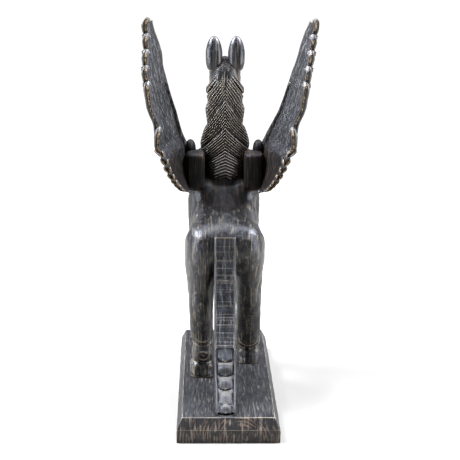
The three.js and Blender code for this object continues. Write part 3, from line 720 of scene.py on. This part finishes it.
# Hooves: squared blocks left on the same piece of wood, rounded off above, where the pastern sinks in.
# left hind, right hind, left fore, right fore: x, heel, toe, half width.
HOOVES = [(59, 76, -10, 32), (-66.5, -45, -126, 28.5), (66, LEFT_FORE_Y + 38, LEFT_FORE_Y - 40, 27),
          (-66, RIGHT_FORE_Y + 38, RIGHT_FORE_Y - 40, 27)]


def hoof(x, heel, toe, wide):
    share = np.concatenate([[0, 0.02, 0.05], np.linspace(0.08, 0.94, 26), [0.96, 0.985, 1]])
    size = smooth([(0, 0.96), (0.04, 1), (0.5, 0.985), (0.75, 0.96), (0.9, 0.88), (1, 0.7)], share)[:, 0]
    back, front = heel - 4 * share, toe + 16 * share
    middles = np.stack([np.full_like(share, HORSE_X + x), (back + front) / 2, FLOOR + HOOF_HIGH * share], 1)
    half = (back - front) / 2
    points, faces = skin(rounded_ring(middles, (1, 0, 0), (0, 1, 0), wide * size, half * size, 3.2, 72))
    away = points - [HORSE_X + x, (heel + toe) / 2, 0]
    points[:, :2] += away[:, :2] / 30 * (0.7 * ripple(points, 26, 5) + 0.25 * ripple(points, 12, 6))[:, None]
    return points, faces


hooves = make_piece("horse_hooves", *joined([hoof(*h) for h in HOOVES]), HORSE_WOOD)
mark_cuts(hooves)
dress(hooves, "horse_wood", "horse")


# Ears: smooth upright shells from the same block, hollowed in front and polished behind.
EAR_APART, EAR_WIDE, EAR_DEEP = 30.5, 46, 20
EAR_FOOT, EAR_TIP = 838, 933
EAR = [(0, 0.5, 0.5), (0.08, 0.8, 0.8), (0.3, 0.98, 1), (0.5, 1, 1), (0.72, 0.86, 0.86), (0.88, 0.6, 0.6),
       (0.97, 0.3, 0.3), (1, 0.04, 0.04)]


def ear(side):
    share = 1 - (1 - np.linspace(0, 1, 60)) ** 1.3
    wide, deep = smooth(EAR, share).T
    middles = np.stack([np.full_like(share, NECK_X + side * EAR_APART), -220 - 6 * share,
                        EAR_FOOT + (EAR_TIP - EAR_FOOT) * share], 1)
    rings = rounded_ring(middles, (1, 0, 0), (0, 1, 0), wide * EAR_WIDE / 2, deep * EAR_DEEP, 2.2, 64)
    rim = EAR_WIDE / 2 * 0.74 * np.maximum(wide, 0.1)[:, None]
    inner = np.abs(rings[..., 0] - middles[:, None, 0]) / rim
    length = np.clip(np.sin(math.pi * np.clip((share - 0.12) / 0.86, 0, 1)), 0, 1)
    scoop = np.clip(1 - inner ** 2, 0, 1) ** 0.7 * length[:, None]
    front = rings[..., 1] < middles[:, None, 1]
    rings[..., 1] += np.where(front, scoop * 24, 0)
    return skin(rings)


# Polished smooth, the ears give two soft upright highlights each.
EAR_WOOD = ebonised_wood("ears_ebonised_and_polished", (0, 0, 0), (0.03, -0.12), line=0.3, rub=0.3, ring=0.0,
                         gloss=0.32, painted_sheen=0.5, bump=0.15)
ears = make_piece("horse_ears", *joined([ear(-1), ear(1)]), EAR_WOOD, sharp=50)
mark_cuts(ears)
dress(ears, "horse_wood", "horse")


# Mane: strands cut with a V gouge on the back of the neck, running down and out from a ridge. Each lock
# starts proud of the one above it, so its head catches the light.
MANE_TOP, MANE_BOTTOM = 868, 545
STRAND_PITCH = 8.0
STRAND_SPREAD = 4.6e-5
STRAND_DEEP = 3.2
LOCK_HEADS = [868, 843, 768, 695, 630, 520]
LOCK_STEP = 8.0
LOCK_CUT = 3.2
MANE_WIDE = [(545, 34), (575, 56), (610, 67), (640, 67), (672, 59), (704, 50), (735, 52), (757, 46),
             (775, 51), (815, 51), (860, 46)]
MANE_BACK = [(545, -132), (580, -141), (620, -150), (680, -160), (757, -177), (815, -190), (860, -204)]
STRAND_DROP = [(545, 12), (600, 28), (640, 50), (700, 68), (760, 74), (845, 70), (860, 67)]


def fade(value, first, last):
    """Eases from 0 at the first place to 1 at the last."""
    t = np.clip((value - first) / (last - first), 0, 1)
    return t * t * (3 - 2 * t)


def mane():
    start = np.arange(MANE_TOP, MANE_BOTTOM - 0.1, -0.95)[:, None]
    share = np.linspace(-1, 1, 101)[None, :]
    side = np.abs(share)
    low = start - smooth(STRAND_DROP, start)[..., 0] * np.sin(1.45 * side) / math.sin(1.45)
    # The strands lie closer together low down, where they are less steep.
    turns = start / STRAND_PITCH - STRAND_SPREAD * (start - MANE_BOTTOM) ** 2
    crest = 1 - np.abs(np.sin(math.pi * turns))
    plain = 1 - fade(side, 0.78, 0.99)
    strand = (crest - 1) * (0.15 + 0.85 * plain)
    within = np.zeros_like(start)
    for top, bottom in zip(LOCK_HEADS[:-1], LOCK_HEADS[1:]):
        inside = (start <= top) & (start > bottom)
        within = np.where(inside, (top - start) / (top - bottom), within)
    proud = 1.9 * LOCK_STEP * within ** 0.5 * (1 - within) * (0.08 + 0.92 * np.clip(side * 1.8, 0, 1))
    sunk = 6 * np.clip((start - 852) / 16, 0, 1) ** 2 + 8 * np.clip((568 - start) / 22, 0, 1) ** 2
    for head in LOCK_HEADS[1:5]:
        sunk = sunk + LOCK_CUT * np.exp(-((start - head - 2) / 2.2) ** 2) * fade(side, 0.04, 0.3)
    raised = STRAND_DEEP * strand + proud * (1 - 0.45 * fade(side, 0.5, 0.9)) - 0.6 - sunk
    turn = 1.45 * share
    x = NECK_X + (smooth(MANE_WIDE, low)[..., 0] + raised) * np.sin(turn)
    y = smooth(MANE_BACK, low)[..., 0] + raised - 44 * (1 - np.cos(turn)) + 0.3 * (1 - side)
    outer = np.stack([x, y, low + 0 * share], -1)
    inner = []
    for s in (0.55, 0.0, -0.55):
        z = start[:, 0] - smooth(STRAND_DROP, start[:, 0])[:, 0] * abs(s)
        inner.append(np.stack([np.full_like(z, NECK_X + s * 40), smooth(MANE_BACK, z)[:, 0] - 52, z], 1))
    rubbed = 0.5 + (0.5 - crest) * plain
    # Along each lock's head the cut is marked deep: brown polish in the cut, and a painted shadow where the
    # lock above ends.
    for head in LOCK_HEADS[1:5]:
        rubbed = rubbed + 0.8 * np.exp(-((start - head - 2) / 2.2) ** 2) * fade(side, 0.04, 0.3)
    cuts = np.concatenate([rubbed, np.full((len(start), 3), 0.5)], 1)
    return skin(np.concatenate([outer, np.stack(inner, 1)], 1)), np.append(np.clip(cuts, 0, 1), [0.5, 0.5])


# Rubbed through on every strand, the mane shows thin pale lines on black, brown in the cuts.
MANE_WOOD = ebonised_wood("mane_ebonised_and_rubbed", (0, 0, 0), (0.03, -0.12), line=0.1, rub=0.9, brown=0.9,
                          ring=0.0, gloss=0.42, painted_sheen=0.2)
shape, cuts = mane()
made = make_piece("horse_mane", *shape, MANE_WOOD)
mark(made.data, "cut", cuts)
across, _, up = np.abs(places_of(made.data).T / MM - np.array([[NECK_X], [0], [0]]))
# Painted shade: the mane is marked dull low down, fully towards its sides by the wing roots and half across
# its middle.
low_down = (1 - fade(up, 585, 672)) * np.clip((across - 14) / 34, 0, 1)
mark(made.data, "dull_and_shade", np.maximum(low_down, 0.5 * (1 - fade(up, 560, 620))))
left_matt(made.data, MATT_SHADE_WOOD)
dress(made, "horse_wood", "horse")


# Wings: each is carved from one board, smooth and with the grain up it on the face towards the other wing.
# Long feathers' tips step down the trailing edge, short thick ones run on to the shoulder, and behind, two
# rows of coverts lie over the long ones. A squared root, matt and painted dark as shade, seats the wing on the
# shoulder.
WING_TIP = 997
FEATHER_TIPS = [WING_TIP, 958, 919, 880, 841]
FINGER_TIPS = [660, 635, 611, 589, 571, 558, 548]
FEATHER_CELL = 1.9
FEATHER_RAMP = 70
QUILL_HIGH = 0.9
BARB_DEEP = 0.5
# Rows of coverts: the first one's tip height, the drop and the turn to the next, its place across the wing,
# length, width, thickness and depth.
COVERT_ROWS = [(898, 62, -2.5, 0.52, 96, 56, 9, 6), (804, 54, 2.5, 0.32, 66, 52, 12, 7)]
# The arm: height and size.
ARM = [(600, 0.9), (638, 1), (656, 0.9), (700, 0.85), (757, 0.75), (800, 0.66), (818, 0.66), (824, 0.5),
       (827, 0.1)]
# Shoulder and root: how far out, height, y, half height, half width, half depth, squareness, end squareness.
ROOTS = [(92, 628, -166, 30, 15, 24, 2.3, 2.2), (79, 577.5, -142, 54, 26, 48, 4.5, 12)]
FEATHER_WIDE = 43
TIP_LEAN = 12
WING_TURN = 7
LEADING_Y = [(529, -188), (600, -188), (650, -180), (700, -160), (757, -118), (824, -62), (890, -6),
             (955, 47), (982, 70), (995, 90)]
TRAILING_Y = [(529, -34), (556, -8), (605, 28), (640, 50), (672, 64), (715, 78), (757, 92), (800, 104),
              (838, 111), (880, 113), (957, 110), (995, 103)]
# How far the inner face stands out from the horse's middle at each height: leading edge, trailing edge.
WING_OUT = [(529, 80, 96), (545, 83, 114), (570, 87, 131), (605, 94, 146), (640, 101, 157), (672, 114, 175),
            (715, 130, 175), (757, 142, 190), (800, 152, 200), (838, 160, 207), (880, 170, 213),
            (915, 180, 216), (957, 192, 219), (995, 203, 210)]


def leading_y(z):
    return smooth(LEADING_Y, z)[..., 0]


def trailing_y(z):
    return smooth(TRAILING_Y, z)[..., 0]


def wing_place(side):
    """Places on the wing: y and z on its inner face, and a depth outwards from there."""
    def place(y, z, depth):
        lead = leading_y(z)
        turn = side * WING_TURN * np.interp(z, [680, 740, 900, 960], [0, 1, 1, 0])
        out = smooth(WING_OUT, z)
        lead_out = out[..., 0] - turn
        share = (y - lead) / (trailing_y(z) - lead)
        lean = side * TIP_LEAN * np.clip((z - 860) / 135, 0, 1.1)
        x = lead_out + (out[..., 1] - lead_out) * share + depth - lean
        x = np.clip(HORSE_X + side * x, cad_low[0] / MM + 0.3, cad_high[0] / MM - 0.3)
        return np.stack([x, y + 0 * x, z + 0 * x], -1)
    return place


def feather(place, start, end, wide, foot, edge, crown, bow=1.7, proud=0.0, skew=0.0, lift=0.0, narrow=0.5,
            point=0.55, tuck=0.0):
    """One feather, from its buried start to its rounded end. foot is its inner face's depth and edge its
    edge's thickness, and the outer face rises by crown. proud brings the inner face forward towards the end
    on the trailing side, skew draws the leading half of the end back, lift thins the outer face away from the
    end, and tuck rounds the end off towards both faces.
    It gives the rings, the marks for the end grain that shows on the trailing edge, and a dull mark of nought,
    so no painted shade."""
    start, end = np.array(start, float), np.array(end, float)
    length = np.linalg.norm(end - start)
    way = (end - start) / length
    run = 1 - (1 - np.linspace(0, 1, max(14, int(length / FEATHER_CELL)))[:, None]) ** 1.4
    tip = min(0.8, point * wide / length)
    size = np.where(run < 0.5 * (1 - tip), narrow + (1 - narrow) * np.sin(math.pi * run / (1 - tip)), 1.0)
    size = size * np.sqrt(np.clip(1 - (np.clip(run - 1 + tip, 0, None) / tip) ** 3.4, 0.002, 1))
    face = np.linspace(-1, 1, 12)
    strip = np.array([0.03, 0.12, 0.24, 0.36, 0.48, 0.6, 0.9])
    notch = np.array([0, -1.5, 0, 0, 0, -1.5, 0])
    back = np.linspace(1, -1, 23)
    plain = np.array([0.7, 0.3])
    side = np.concatenate([face, np.ones(7), back, -np.ones(2)])[None]
    within = np.concatenate([face * 0, strip, back * 0 + 1, plain])[None]
    sunk = np.concatenate([face * 0, notch, back * 0, plain * 0])[None]
    left = (1 - run) * length
    buried = (1.5 - foot) * (1 - fade(run, 0.05, 0.5)) if foot < 0 else 0
    low = foot + buried - proud * np.clip(1 - left / FEATHER_RAMP, 0, 1) * fade(side, -0.45, 0.35)
    across = side * size * wide / 2
    rounded = crown * (1 - np.abs(side) ** bow) * (0.3 + 0.7 * fade(left, 0, 12))
    rounded = rounded * (1 - lift * np.clip(left / 45, 0, 1))
    spine = QUILL_HIGH * np.exp(-(across / 1.8) ** 2) * fade(left, 4, 20)
    slant = np.abs(((run * length + np.abs(across) * 1.1) / 5.2) % 1 - 0.5) * 2
    cuts = -BARB_DEEP * np.clip(1 - slant * 2.2, 0, 1) * np.clip(np.abs(across) / 4, 0, 1) * fade(left, 6, 14)
    outer = within == 1
    depth = low + edge * within + np.where(outer, rounded + spine + cuts, 0)
    across = across + sunk * np.clip(left / 6, 0, 1)
    along = run * length - skew * (1 - side) / 2 * np.clip(1 - left / 30, 0, 1)
    level = (depth - low) / (edge + crown)
    along = along - tuck * (2 * np.abs(level - 0.45)) ** 2.2 * np.clip(1 - left / 30, 0, 1)
    y = start[0] + way[0] * along + way[1] * across
    z = start[1] + way[1] * along - way[0] * across
    marks = ((within > 0.2) & (within < 0.55)) * fade(run, 0, 0.1) * fade(left, 0.5, 3)
    return place(y, z, depth), marks, 0.0


def finger(place, start, end, wide, thick):
    """One short thick feather, domed at its end, with a slot cut into the end near its inner face."""
    start, end = np.array(start, float), np.array(end, float)
    length = np.linalg.norm(end - start)
    way = (end - start) / length
    run = 1 - (1 - np.linspace(0, 1, 40)[:, None]) ** 1.6
    turn = np.linspace(0, 2 * math.pi, 37)[None, :-1]
    left = (1 - run) * length
    dome = np.sqrt(np.clip(1 - (1 - np.clip(left / (0.5 * wide), 0, 1)) ** 2.4, 0.002, 1))
    body = 1 - 0.5 * np.clip(left / length, 0, 1)
    across = wide / 2 * dome * body * np.cos(turn)
    out = thick / 2 * dome * (1 - 0.9 * np.clip(left / 36, 0, 1)) * np.sin(turn)
    slot = 13 * np.exp(-((out + thick * 0.14) / (0.15 * thick)) ** 2) * np.clip(1 - left / 20, 0, 1)
    along = run * length - slot
    return place(start[0] + way[0] * along + way[1] * across, start[1] + way[1] * along - way[0] * across,
                 0.12 * thick + out + 5.5 * np.exp(-left / 9))


def wing(side, name, node):
    place = wing_place(side)
    parts = []

    # The board, shallowly scooped up its length on the inner face. It is thin behind the short fingers.
    z = np.arange(534, 951, 4.0)[:, None]
    face = np.linspace(0, 1, 34)[None]
    front = leading_y(z) + 2
    back = trailing_y(z) - np.interp(z, [534, 600, 757, 950], [14, 26, 26, 40])
    scoop = 0.35 * np.sin(face * 46 + z * 0.012) + 0.25 * np.sin(face * 23 - z * 0.02 + 1)
    inner = (scoop - 1.4) * np.sin(math.pi * face)
    thinned = 0.7 * (1 - fade(z, 660, 710)) * fade(face[:, ::-1], 0.4, 0.7)
    outer = (8 + 2 * np.sin(math.pi * face[:, ::-1])) * (1 - thinned)
    spread = front + (back - front) * face
    rim = np.array([[0.25, 0.6, 0.9]])
    depth = np.concatenate([inner + 0.6, rim * outer[:, :1], outer, rim[:, ::-1] * outer[:, -1:]], 1)
    swell = np.array([[1.2, 1.8, 1.2]])
    y = np.concatenate([spread, back + swell, spread[:, ::-1], front - swell], 1)
    board = place(y, z + 0 * y, depth)
    across = np.concatenate([face, rim * 0 + 1, face * 0 + 1, rim * 0], 1)
    # Painted shade: the inner face is marked dull low down towards the root, and along the leading edge below
    # the arm's end.
    dark = (1 - fade(z, 700, 790)) * (1 - fade(across, 0.05, 0.3))
    inside = np.concatenate([face * 0 + 1, rim * 0, face * 0, rim * 0 + 1], 1)
    dark = np.maximum(dark, 1 - fade(z, 560, 720)) * inside
    parts.append((board, np.zeros(board.shape[:2]), dark))

    # Five long feathers and a broader one below them. Each end stands proud of the feather above.
    for i, tip in enumerate(FEATHER_TIPS):
        lean = math.radians(40 - 3.5 * i)
        wide = FEATHER_WIDE if i else FEATHER_WIDE * 0.75
        y = float(trailing_y(tip)) - (wide * 0.42 if i else 5)
        length = 190 - 6 * i
        start = (y - math.sin(lean) * length, tip - math.cos(lean) * length)
        parts.append(feather(place, start, (y, tip), wide, -2.5, 11, 8, bow=6, proud=10 if i else 4,
                             skew=10 if i else 16, lift=0.35, point=0.45 if i else 0.9, tuck=10))
    parts.append(feather(place, (-12, 600), (60, 722), 50, -1.5, 11, 8, bow=6, proud=8, skew=12, lift=0.4,
                         narrow=0.3, point=0.45, tuck=10))

    # Seven short fat fingers below, rounded off, with deep hollows between them.
    for i, tip in enumerate(FINGER_TIPS):
        lean = math.radians(42 + 5 * i)
        y = float(trailing_y(tip)) - 6
        start = (y - math.sin(lean) * 70, tip - math.cos(lean) * 70)
        rings = finger(place, start, (y, tip), 29 - 2.2 * i, 29 - 2.2 * i)
        # The domes' ends take the pale end-grain flecks at half strength: end grain where the feathers are cut
        # off, and painted light that lifts the domes out of their shade.
        rubbed = 0.5 * fade(np.linspace(0, 1, len(rings)), 0.55, 0.8)[:, None]
        parts.append((rings, rubbed + np.zeros(rings.shape[:2]), 0.0))

    # Coverts in two rows on the outer face.
    for i in range(4):
        for first, drop, turn, chord, length, wide, thick, foot in COVERT_ROWS:
            tip = first - drop * i
            lean = math.radians((40 if turn < 0 else 38) + turn * i)
            y = float(leading_y(tip) + chord * (trailing_y(tip) - leading_y(tip)))
            start = (y - math.sin(lean) * length, tip - math.cos(lean) * length)
            parts.append(feather(place, start, (y, tip), wide, foot, thick * 0.55, thick * 0.45, narrow=0.6))

    # The arm up the leading edge, cut off short above, with its rounded shoulder, and the squared root.
    z = np.concatenate([np.arange(600, 815, 3.0), np.arange(815, 827.5, 1.2)])
    size = smooth(ARM, z)[:, 0]
    middles = place(leading_y(z) + 12, z, 4 + 0 * z)
    rings = rounded_ring(middles, (1, 0, 0), (0, 1, 0), 11 * size, 17 * size, 2.4, 28)
    # Painted shade: the arm is marked partly dull, which darkens it.
    parts.append((rings, np.zeros(rings.shape[:2]), 0.4))
    roots = []
    for middle, high, y, half, wide, deep, square, blunt in ROOTS:
        z = high + half * np.sin(np.linspace(-1.45, 1.45, 40))
        size = np.clip(1 - np.abs((z - high) / half) ** blunt, 0.01, 1) ** 0.45
        middles = np.stack([np.full_like(z, HORSE_X + side * middle), np.full_like(z, y), z], 1)
        rings = rounded_ring(middles, (1, 0, 0), (0, 1, 0), wide * size, deep * size, square, 40)
        roots.append(skin(rings))

    made = make_piece(name, *joined([skin(part[0]) for part in parts]), WING_WOOD, sharp=44)
    mark(made.data, "end", np.concatenate([np.append(np.ravel(part[1]), [0, 0]) for part in parts]))
    shade_marks = [np.append(np.ravel(np.zeros(rings.shape[:2]) + dark), [0, 0]) for rings, _, dark in parts]
    mark(made.data, "dull_and_shade", np.concatenate(shade_marks))
    left_matt(made.data, MATT_SHADE_WOOD)
    mark_cuts(made, radius=2.5)
    dress(made, "wing_wood", node)
    made = make_piece(name + "_root", *joined(roots), MATT_SHADE_WOOD)
    mark_cuts(made, radius=2.0)
    # Painted shade: the root is marked dull all over, black and dark brown.
    mark(made.data, "dull_and_shade", np.ones(len(made.data.vertices)))
    dress(made, "wing_wood", node)


# The grain gives the wings long broken grey lines up them, leaning back with the feathers.
WING_WOOD = ebonised_wood("wing_ebonised_and_waxed", (math.radians(33), 0, 0), (0.9, 0.9), line=0.5,
                          rub=0.45, ring=0.0, gloss=0.42, painted_sheen=0.25, pale=("#47464a", "#85837f"),
                          bump=0.6, long=3.0)
wing(1, "left_wing", "wing_left")
wing(-1, "right_wing", "wing_right")


# Tail: a squared beam let on to the rump, which sweeps down to the plinth. Its rear face is flat between
# bevelled edges and crossed by saw and growth lines. Low down it is sunk, and rounded locks step down it.
TAIL_X = 6
TAIL_WIDE = 55
TAIL_THICK = 44
TAIL_LINE = [(106, 444), (113, 400), (128, 340), (150, 280), (176, 226), (212, 171), (254, 126), (304, 94),
             (346, 74), (369, 63)]
CROSS_LINES = [0.16, 0.225, 0.335, 0.40, 0.415, 0.43, 0.455, 0.565]
LOCK_ENDS = [0.655, 0.735, 0.82, 0.925, 0.985]
TAIL_PATH = through(TAIL_LINE, 1.0)
TAIL_RUN = float(np.linalg.norm(np.diff(TAIL_PATH, axis=0), axis=1).sum())


def tail_place(across, share, depth):
    """Places on the tail: across it, down its rear face as a share, and a depth out from that face."""
    at = np.clip(share, 0, 1) * (len(TAIL_PATH) - 1)
    steps = np.arange(len(TAIL_PATH))
    y, z = (np.interp(at, steps, TAIL_PATH[:, k]) for k in (0, 1))
    down = np.gradient(TAIL_PATH, axis=0)
    down /= np.linalg.norm(down, axis=1, keepdims=True)
    way_y, way_z = (np.interp(at, steps, down[:, k]) for k in (0, 1))
    x = TAIL_X + across + 0 * at
    return np.stack([x, y - way_z * depth, np.maximum(z + way_y * depth, FLOOR)], -1)


def lock(start, end, wide, foot, bulge, flat=False, point=0.62, cell=1.0):
    """One rounded scale down the tail. It swells out below its start and tucks in again to a rounded end."""
    length = (end - start) * TAIL_RUN
    run = np.linspace(0, 1, max(16, int(length / cell)))[:, None]
    tip = min(0.8, point * wide / length / 2 * 1.1)
    size = np.sqrt(np.clip(1 - (np.clip(run - 1 + tip, 0, None) / tip) ** 2.3, 0.002, 1))
    face = np.linspace(-1, 1, 29)[None]
    swell = bulge * (0.2 + 0.8 * np.clip(1 - np.abs(face) ** 2.2, 0, 1))
    rise = fade(run, 0.12, 0.4) * (1 - 0.55 * fade(run, 0.55, 1))
    if flat:
        rise = 0.8 + 0.2 * fade(run, 0.3, 0.9)
    top = foot + swell * rise + 0.25 * np.sin(face * 7 + run * 3)
    across = face * size * wide / 2
    wall = np.array([[0.75, 0.45, 0.15]])
    edge = foot + (top[:, -1:] - foot) * wall
    fall = edge - 2 * (1 - wall)
    depth = np.concatenate([top, fall, np.full((len(run), 5), foot - 6), fall[:, ::-1]], 1)
    half = size * wide / 2
    under = half * np.linspace(0.9, -0.9, 5)[None]
    side = np.concatenate([across, half + 0 * wall, under, -half + 0 * wall], 1)
    return tail_place(side, start + (end - start) * run + 0 * side, depth)


def tail():
    shells = []
    share = np.linspace(0, 0.97, 360)[:, None]
    lower = np.clip(share - 0.6, 0, None)
    half = TAIL_WIDE / 2 * (1 - 0.3 * lower)
    thick = TAIL_THICK - 14 * lower
    sunk = -5 * np.clip((share - 0.58) / 0.006, 0, 1)
    face = np.linspace(-0.84, 0.84, 33)
    bevel = np.array([0.86, 0.9, 0.94, 0.97, 1.0])
    side = np.concatenate([face, bevel, np.ones(6), np.linspace(1, -1, 9), -np.ones(6), -bevel[::-1]])
    level = np.concatenate([face * 0, (bevel - 0.84) / 0.16, np.ones(21), (bevel[::-1] - 0.84) / 0.16])
    sides = np.linspace(0.05, 0.9, 6)
    down = np.concatenate([face * 0, bevel * 0, sides, np.ones(9), sides[::-1], bevel * 0])
    chance = np.random.default_rng(8)
    lines = np.zeros_like(share)
    for i, at in enumerate(CROSS_LINES + list(chance.uniform(0.02, 0.57, 44))):
        deep = 0.5 if i < len(CROSS_LINES) else chance.uniform(0.1, 0.45)
        lines = lines - deep * np.exp(-((share - at) * TAIL_RUN / 1.1) ** 2)
    on_face = (np.abs(side) <= 0.84) & (down == 0)
    depth = np.where(down > 0, -5 - (thick - 5) * down, sunk * (1 - level) - 5 * level)
    depth = depth + np.where(on_face, lines, 0)
    shells.append(skin(tail_place(side * half, share + 0 * side, depth)))
    rubbed = np.where(on_face, np.clip(-lines * 1.6 - 0.25, 0, 0.24), 0) * (share < 0.575)
    rubbed = np.append(np.ravel(rubbed), [0, 0])
    shells.append(skin(lock(0.575, LOCK_ENDS[0], 45, -6, 6, flat=True)))
    for i in range(1, len(LOCK_ENDS)):
        shells.append(skin(lock(LOCK_ENDS[i - 1] - 0.02, LOCK_ENDS[i], 45 - 3.2 * i, -6, 11)))
    for edge in (-1, 1):
        share = np.linspace(0.575, 1, 150)[:, None]
        wide = 3.0 * np.sqrt(np.clip(1 - (np.clip(share - 0.93, 0, None) / 0.07) ** 2, 0.003, 1))
        turn = np.linspace(0, 2 * math.pi, 15)[None, :-1]
        middle = edge * (24.4 - 3 * fade(share, 0.6, 1))
        rise = 5 * fade(share, 0.572, 0.59)
        out = -6 + (rise + 2.5) * np.sin(turn) * 0.9 + rise * 0.5
        rings = tail_place(middle + wide * np.cos(turn), share + 0 * turn, out)
        shells.append(skin(rings))
    made = make_piece("tail_beam", *joined(shells), TAIL_WOOD, sharp=50)
    mark_cuts(made, radius=2.0)

    # The side bands stay black: only the locks and the lines between them are rubbed. Locks and bands are
    # marked dull, which makes them matt and darkens them.
    order = np.arange(len(made.data.vertices))
    bands = sum(len(points) for points, _ in shells[-2:])
    calm(made.data, order >= len(order) - bands)
    locks = sum(len(points) for points, _ in shells[-2 - len(LOCK_ENDS) + 1:-2])
    facing = places_of(made.data, "normal")
    chosen = (order >= len(order) - bands - locks) & (order < len(order) - bands)
    mark(made.data, "dull_and_shade", chosen * 0.8 + (order >= len(order) - bands) * 0.6)
    # Painted light: the locks' faces that look up are painted a little paler, as if lit from above.
    worn = chosen * fade(facing[:, 2], 0.72, 0.95) * 0.2
    worn[:len(rubbed)] = rubbed
    mark(made.data, "worn", worn)
    dress(made, "tail_wood", "tail")


# Waxed like the body, the tail shows the saw's lines rubbed pale across it.
TAIL_WOOD = ebonised_wood("tail_ebonised_and_waxed", (0, 0, 0), (0.2, 0.1), line=0.4, rub=0.4, ring=0.0,
                          gloss=0.4, painted_sheen=0.5, pale=("#45464c", "#87847c"))
tail()


# Floor and light: a white sweep, brighter away from the piece, under soft boxes high on both sides. Nothing
# stands behind the camera, so the faces towards it stay dark and the waxed edges shine.
def studio():
    floor_mesh = bpy.data.meshes.new("floor")
    reach = 60.0
    corners = [(-reach, -reach, 0), (reach, -reach, 0), (reach, reach, 0), (-reach, reach, 0)]
    floor_mesh.from_pydata(corners, [], [(0, 1, 2, 3)])
    floor = bpy.data.objects.new("floor", floor_mesh)
    bpy.context.scene.collection.objects.link(floor)
    white = bpy.data.materials.new("white_paper")
    white.use_nodes = True
    tree = white.node_tree
    tree.nodes.clear()
    place = add(tree, "ShaderNodeTexCoord").outputs["Object"]
    far = add(tree, "ShaderNodeVectorMath", {0: place}, operation="LENGTH").outputs["Value"]
    glow = add(tree, "ShaderNodeMapRange", {"Value": far, 1: 0.45, 2: 1.8, 3: 0.0, 4: 0.95}).outputs[0]
    shader = add(tree, "ShaderNodeBsdfPrincipled", {
        "Base Color": colour("#8e8a81"), "Roughness": 0.9, "Emission Color": (1, 1, 1, 1),
        "Emission Strength": glow})
    add(tree, "ShaderNodeOutputMaterial", {"Surface": shader.outputs[0]})
    floor_mesh.materials.append(white)

    def soft_box(name, place, aim, wide, high, power, tint):
        data = bpy.data.lights.new(name, "AREA")
        data.shape, data.size, data.size_y = "RECTANGLE", wide, high
        data.energy = power
        data.color = colour(tint)[:3]
        lamp = bpy.data.objects.new(name, data)
        back = np.array(place, float) - np.array(aim, float)
        back /= np.linalg.norm(back)
        right = np.cross([0, 0, 1], back)
        right /= np.linalg.norm(right)
        up = np.cross(back, right)
        turned = np.eye(4)
        turned[:3, 0], turned[:3, 1], turned[:3, 2], turned[:3, 3] = right, up, back, place
        lamp.matrix_world = Matrix(turned.tolist())
        bpy.context.scene.collection.objects.link(lamp)

    soft_box("box_left", (1.5, -0.25, 2.7), (0, 0, 0.5), 1.4, 1.4, 380, "#e9efff")
    soft_box("box_right", (-1.4, -0.25, 2.7), (0, 0, 0.5), 0.95, 0.95, 275, "#e9efff")
    soft_box("box_above", (0, -0.9, 3.1), (0, 0, 0.5), 1.4, 0.9, 40, "#e9efff")
    soft_box("flat_left", (2.4, 0.7, 0.95), (0, 0, 0.6), 0.6, 1.5, 66, "#e9efff")
    soft_box("flat_right", (-2.4, 0.7, 0.95), (0, 0, 0.6), 0.6, 1.5, 60, "#e9efff")
    world = bpy.data.worlds.new("white_room")
    world.use_nodes = True
    tree = world.node_tree
    tree.nodes.clear()
    way = add(tree, "ShaderNodeSeparateXYZ", {0: add(tree, "ShaderNodeTexCoord").outputs["Generated"]})
    bright = add(tree, "ShaderNodeMapRange",
                 {"Value": way.outputs["Y"], 1: -0.1, 2: 0.5, 3: 0.5, 4: 0.1}).outputs[0]
    ground = add(tree, "ShaderNodeBackground", {"Color": colour("#f1f4ff"), "Strength": bright})
    add(tree, "ShaderNodeOutputWorld", {"Surface": ground.outputs[0]})
    bpy.context.scene.world = world
    bpy.context.scene.view_settings.view_transform = "Standard"


studio()
